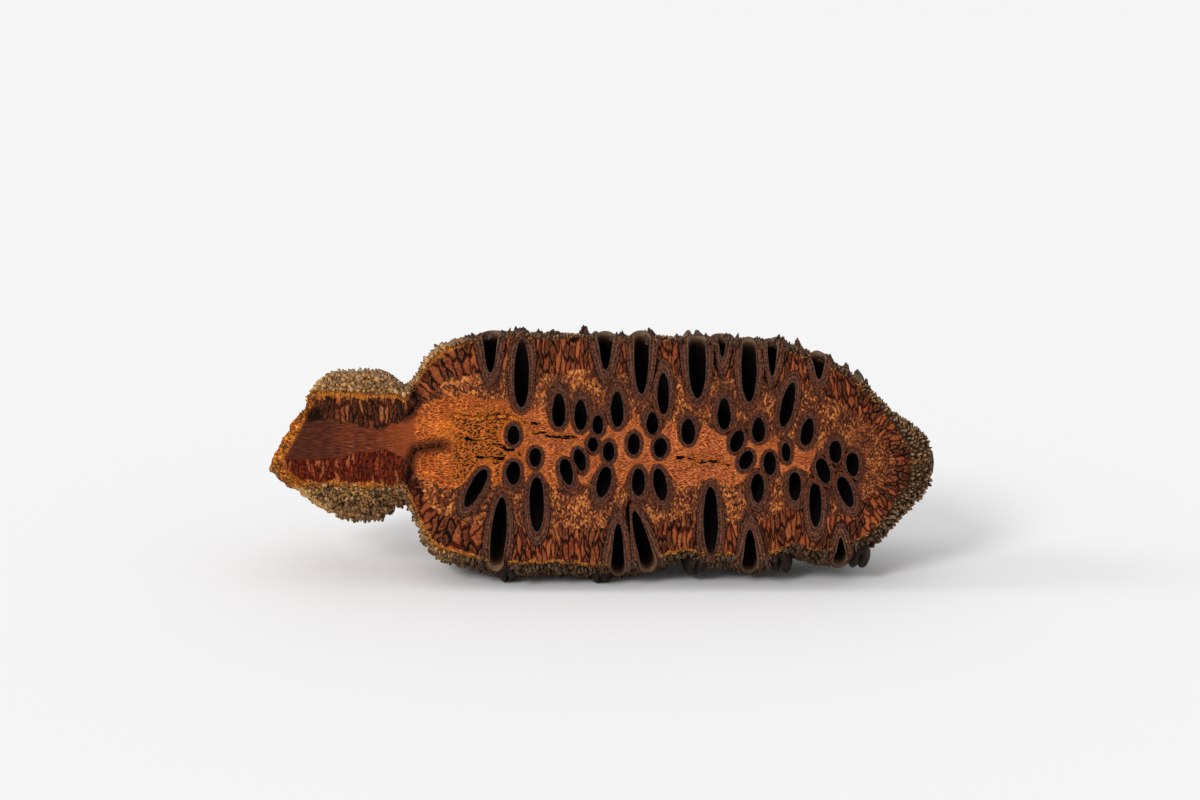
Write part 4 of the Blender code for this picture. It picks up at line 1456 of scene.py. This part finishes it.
def follicle_paint():
    """Hard purple-brown wall, layered where it is thick, and a chamber painted with painted shade: lighter
    brown just inside its mouth, black deeper in.
    """
    paint = Paint("follicle_wall", 0.82, 0.07)
    across, chamber, deep = (paint.read(n) for n in ("across", "chamber", "deep"))
    walk, mouth, far = paint.read("walk"), paint.read("mouth"), paint.read("far")
    cross = paint.noise(paint.spot(walk * 2.6, across * 1.2), 1.0, 3.0, 0.7)
    grit = paint.noise(paint.place, 1.9, 3.0, 0.8)
    ripple = across + (grit - 0.5) * 0.50
    layered = paint.ramp(
        ripple, (0.0, (0.008, 0.004, 0.003)), (0.06, (0.014, 0.006, 0.005)), (0.14, (0.150, 0.068, 0.044)),
        (0.24, (0.055, 0.025, 0.020)), (0.42, (0.080, 0.037, 0.028)), (0.50, (0.230, 0.094, 0.050)),
        (0.60, (0.072, 0.034, 0.027)), (0.80, (0.040, 0.020, 0.017)), (0.90, (0.150, 0.085, 0.060)),
        (1.0, (0.022, 0.010, 0.008)),
    )
    plain = paint.ramp(
        ripple, (0.0, (0.24, 0.066, 0.018)), (0.10, (0.12, 0.038, 0.018)), (0.25, (0.072, 0.030, 0.023)),
        (0.62, (0.052, 0.024, 0.021)), (0.85, (0.105, 0.054, 0.042)), (1.0, (0.016, 0.008, 0.007)),
    )
    wall = paint.blend(paint.step(far, 19.0, 26.0), plain, layered)
    speck = paint.noise(paint.place, 1.25, 2.0, 0.7)
    wall = paint.blend(paint.step(cross, 0.51, 0.60) * 0.6, wall, (0.018, 0.008, 0.007))
    wall = paint.blend(paint.step(grit, 0.53, 0.62) * 0.65, wall, (0.24, 0.100, 0.048))
    wall = paint.blend(paint.step(speck, 0.53, 0.62) * 0.55, wall, (0.20, 0.080, 0.038))
    wall = paint.blend(paint.step(speck, 0.46, 0.38) * 0.65, wall, (0.014, 0.006, 0.005))
    # Painted shade inside the chamber: lit brown just inside the mouth, going to black with depth.
    depth_in = mouth - deep + (grit - 0.5) * 2.0
    hollow = paint.ramp(
        paint.step(depth_in, 0.3, 8.0), (0.0, (0.19, 0.125, 0.082)), (0.07, (0.09, 0.050, 0.030)),
        (0.26, (0.024, 0.010, 0.006)), (0.6, (0.005, 0.0022, 0.0016)), (1.0, (0.003, 0.0015, 0.001)),
    )
    hollow = paint.blend(paint.step(grit, 0.5, 0.7) * 0.35, hollow, (0.004, 0.002, 0.0015))
    colour = paint.deepen(paint.blend(chamber, wall, hollow), 1.22, 1.42)
    return paint.finish(colour, cross * 0.5 + grit, distance=0.45, strength=0.9)


def tip_paint():
    """Bract tips: dark, with pale ends on the body and greyer ones on the stalk, and painted shade that
    darkens the body's tips towards the floor.
    """
    paint = Paint("bract_tip", 0.85, 0.12)
    rise = paint.read("rise")
    along = paint.part(paint.place, "X")
    patch = paint.noise(paint.place, 0.22, 3.0, 0.6)
    grit = paint.noise(paint.place, 1.6, 3.0, 0.7)
    # Darker at the foot of each tip and paler towards its end.
    brown = paint.ramp(
        rise * 0.45 + grit * 0.55, (0.30, (0.016, 0.007, 0.005)), (0.46, (0.065, 0.030, 0.016)),
        (0.64, (0.17, 0.088, 0.044)), (0.86, (0.40, 0.24, 0.13)),
    )
    golden = paint.ramp(
        rise * 0.35 + grit * 0.6, (0.26, (0.06, 0.022, 0.007)), (0.40, (0.42, 0.17, 0.040)),
        (0.54, (0.64, 0.37, 0.15)), (0.66, (0.30, 0.18, 0.10)), (0.80, (0.045, 0.028, 0.020)),
    )
    golden = paint.blend(paint.step(patch, 0.50, 0.42) * 0.55, golden, (0.10, 0.055, 0.026))
    up = paint.part(paint.place, "Z")
    blotch = paint.noise(paint.place, 0.42, 3.0, 0.65)
    under = paint.step(up, 2.0, -8.0)
    golden = paint.blend(paint.step(blotch, 0.53, 0.42) * under * 0.85, golden, (0.045, 0.022, 0.010))
    golden = paint.blend(paint.step(blotch, 0.57, 0.66) * under * 0.7, golden, (0.62, 0.27, 0.060))
    stalk = paint.step(along + (patch - 0.5) * 22.0, -40.0, -52.0)
    brown = paint.blend(paint.step(patch, 0.50, 0.64) * 0.6, brown, (0.028, 0.015, 0.010))
    brown = paint.blend(paint.step(blotch, 0.58, 0.66) * 0.5, brown, (0.30, 0.150, 0.045))
    # Painted shade on the underside: the body's tips darken towards the floor.
    brown = paint.blend(paint.step(up, -20.0, -32.0) * 0.55, brown, (0.022, 0.012, 0.008))
    colour = paint.blend(stalk, brown, golden)
    return paint.finish(colour, grit, distance=0.3, strength=0.7)


def crumb_paint():
    """Golden-brown torn fibre ends along the cut edges and on the stalk's broken end."""
    paint = Paint("torn_fibre", 0.85, 0.12)
    grit = paint.noise(paint.place, 1.2, 3.0, 0.7)
    colour = paint.ramp(
        grit, (0.36, (0.035, 0.012, 0.005)), (0.48, (0.20, 0.068, 0.016)), (0.60, (0.48, 0.20, 0.045)),
        (0.74, (0.68, 0.40, 0.15)),
    )
    return paint.finish(colour, grit, distance=0.2, strength=0.5)


def lip_paint():
    """Grey-brown valve lips, with painted shade in the slit where the valves meet and painted shade darkening
    them towards the floor.
    """
    paint = Paint("valve", 0.70, 0.12)
    slit = paint.read("slit")
    grit = paint.noise(paint.place, 0.9, 4.0, 0.65)
    patch = paint.noise(paint.place, 0.16, 2.0)
    colour = paint.ramp(
        grit, (0.34, (0.020, 0.011, 0.007)), (0.48, (0.075, 0.045, 0.029)), (0.64, (0.20, 0.140, 0.098)),
    )
    colour = paint.blend(paint.step(patch, 0.46, 0.62) * 0.7, colour, (0.040, 0.024, 0.016))
    # Painted shade on the underside: the lips darken towards the floor.
    low = paint.step(paint.part(paint.place, "Z"), -18.0, -30.0)
    colour = paint.blend(low * 0.85, colour, (0.012, 0.006, 0.004))
    # Painted shade in the slit between the valves.
    colour = paint.blend(paint.step(slit, 0.25, 0.75), colour, (0.010, 0.006, 0.005))
    return paint.finish(colour, grit, distance=0.25, strength=0.5)


def flake_paint():
    """Dark weathered valve wood with paler flecks."""
    paint = Paint("mouth_flake", 0.75, 0.2)
    grit = paint.noise(paint.place, 1.5, 4.0, 0.7)
    colour = paint.ramp(
        grit, (0.38, (0.010, 0.005, 0.004)), (0.50, (0.048, 0.023, 0.014)), (0.60, (0.13, 0.066, 0.038)),
        (0.74, (0.34, 0.21, 0.13)),
    )
    return paint.finish(colour, grit, distance=0.3, strength=0.7)


def plain_paint(name, colour, roughness):
    """One colour all over."""
    paint = Paint(name, roughness, 0.3)
    paint.shader.inputs["Base Color"].default_value = (*colour, 1)
    return paint.material


# ---- assembly --------------------------------------------------------------------------------------------

def build_cone():
    """Every piece of the cone, placed and named after its part."""
    body = build_body()
    core = build_core_solid()
    pockets = build_pockets()
    boolean(body, "DIFFERENCE", group=pockets)
    remove(*list(pockets.objects))
    wood = copy_of(body, "core_wood")
    boolean(wood, "INTERSECT", cutter=core)
    bracts = copy_of(body, "packed_bracts")
    boolean(bracts, "DIFFERENCE", cutter=core)
    remove(body, core)
    for piece, slot, node in ((wood, "axis_wood", "woody_axis"), (bracts, "bract", "bract_mass")):
        mark_up(piece)
        place(piece, sawn_paint("sawn_" + piece.name), (node,))

    wall = follicle_paint()
    for fruit in follicles:
        place(build_cup(fruit), wall, (f"follicle_{fruit.number:02d}",))
    place(build_lips(), lip_paint())
    place(build_flakes(), flake_paint())
    tip = tip_paint()
    for piece in build_tips(tip):
        place(piece, tip)
    crumb = crumb_paint()
    place(build_crumbs(crumb), crumb)
    place(build_stray_fibre(), crumb)


def aim(thing, target):
    """Turns a lamp or a camera to look at a point."""
    direction = Vector(target) - thing.location
    thing.rotation_euler = direction.to_track_quat("-Z", "Y").to_euler()


def add_sun(name, towards, strength, softness):
    """Even light over the whole floor from one side. The softness is in degrees."""
    lamp = bpy.data.lights.new(name, "SUN")
    lamp.energy = strength
    lamp.angle = math.radians(softness)
    thing = bpy.data.objects.new(name, lamp)
    bpy.context.scene.collection.objects.link(thing)
    thing.location = towards
    aim(thing, (0, 0, 0))


def build_stage():
    """Pale floor, a soft key light from the left, a fill from the front, and the camera."""
    bpy.ops.mesh.primitive_plane_add(size=14)
    floor = bpy.context.object
    floor.name = "pale_floor"
    floor.data.materials.append(plain_paint("pale_floor", (0.885, 0.885, 0.888), 0.9))

    scene = bpy.context.scene
    scene.view_settings.view_transform = "Standard"
    world = bpy.data.worlds.new("studio")
    world.use_nodes = True
    world.node_tree.nodes["Background"].inputs["Color"].default_value = (1, 1, 1, 1)
    world.node_tree.nodes["Background"].inputs["Strength"].default_value = 0.69
    scene.world = world
    add_sun("key", (-0.86, 0.08, 0.46), 0.66, 22)
    add_sun("front_fill", (-0.46, -0.72, 0.52), 1.55, 18)

    elevation = math.radians(12)
    distance = 0.9
    view_width = 0.384          # what the frame's width takes in at the cone
    above_middle = 0.0155       # the frame's middle lies this much above the cone's own middle
    lens = bpy.data.cameras.new("camera")
    lens.sensor_width = 36
    lens.lens = lens.sensor_width * distance / view_width
    camera = bpy.data.objects.new("camera", lens)
    scene.collection.objects.link(camera)
    up = Vector((0, math.sin(elevation), math.cos(elevation)))
    target = CONE_ORIGIN + Vector((-0.0013, 0, 0)) + up * above_middle
    camera.location = target + distance * Vector((0, -math.cos(elevation), math.sin(elevation)))
    aim(camera, target)
    scene.camera = camera


build_stage()
build_cone()
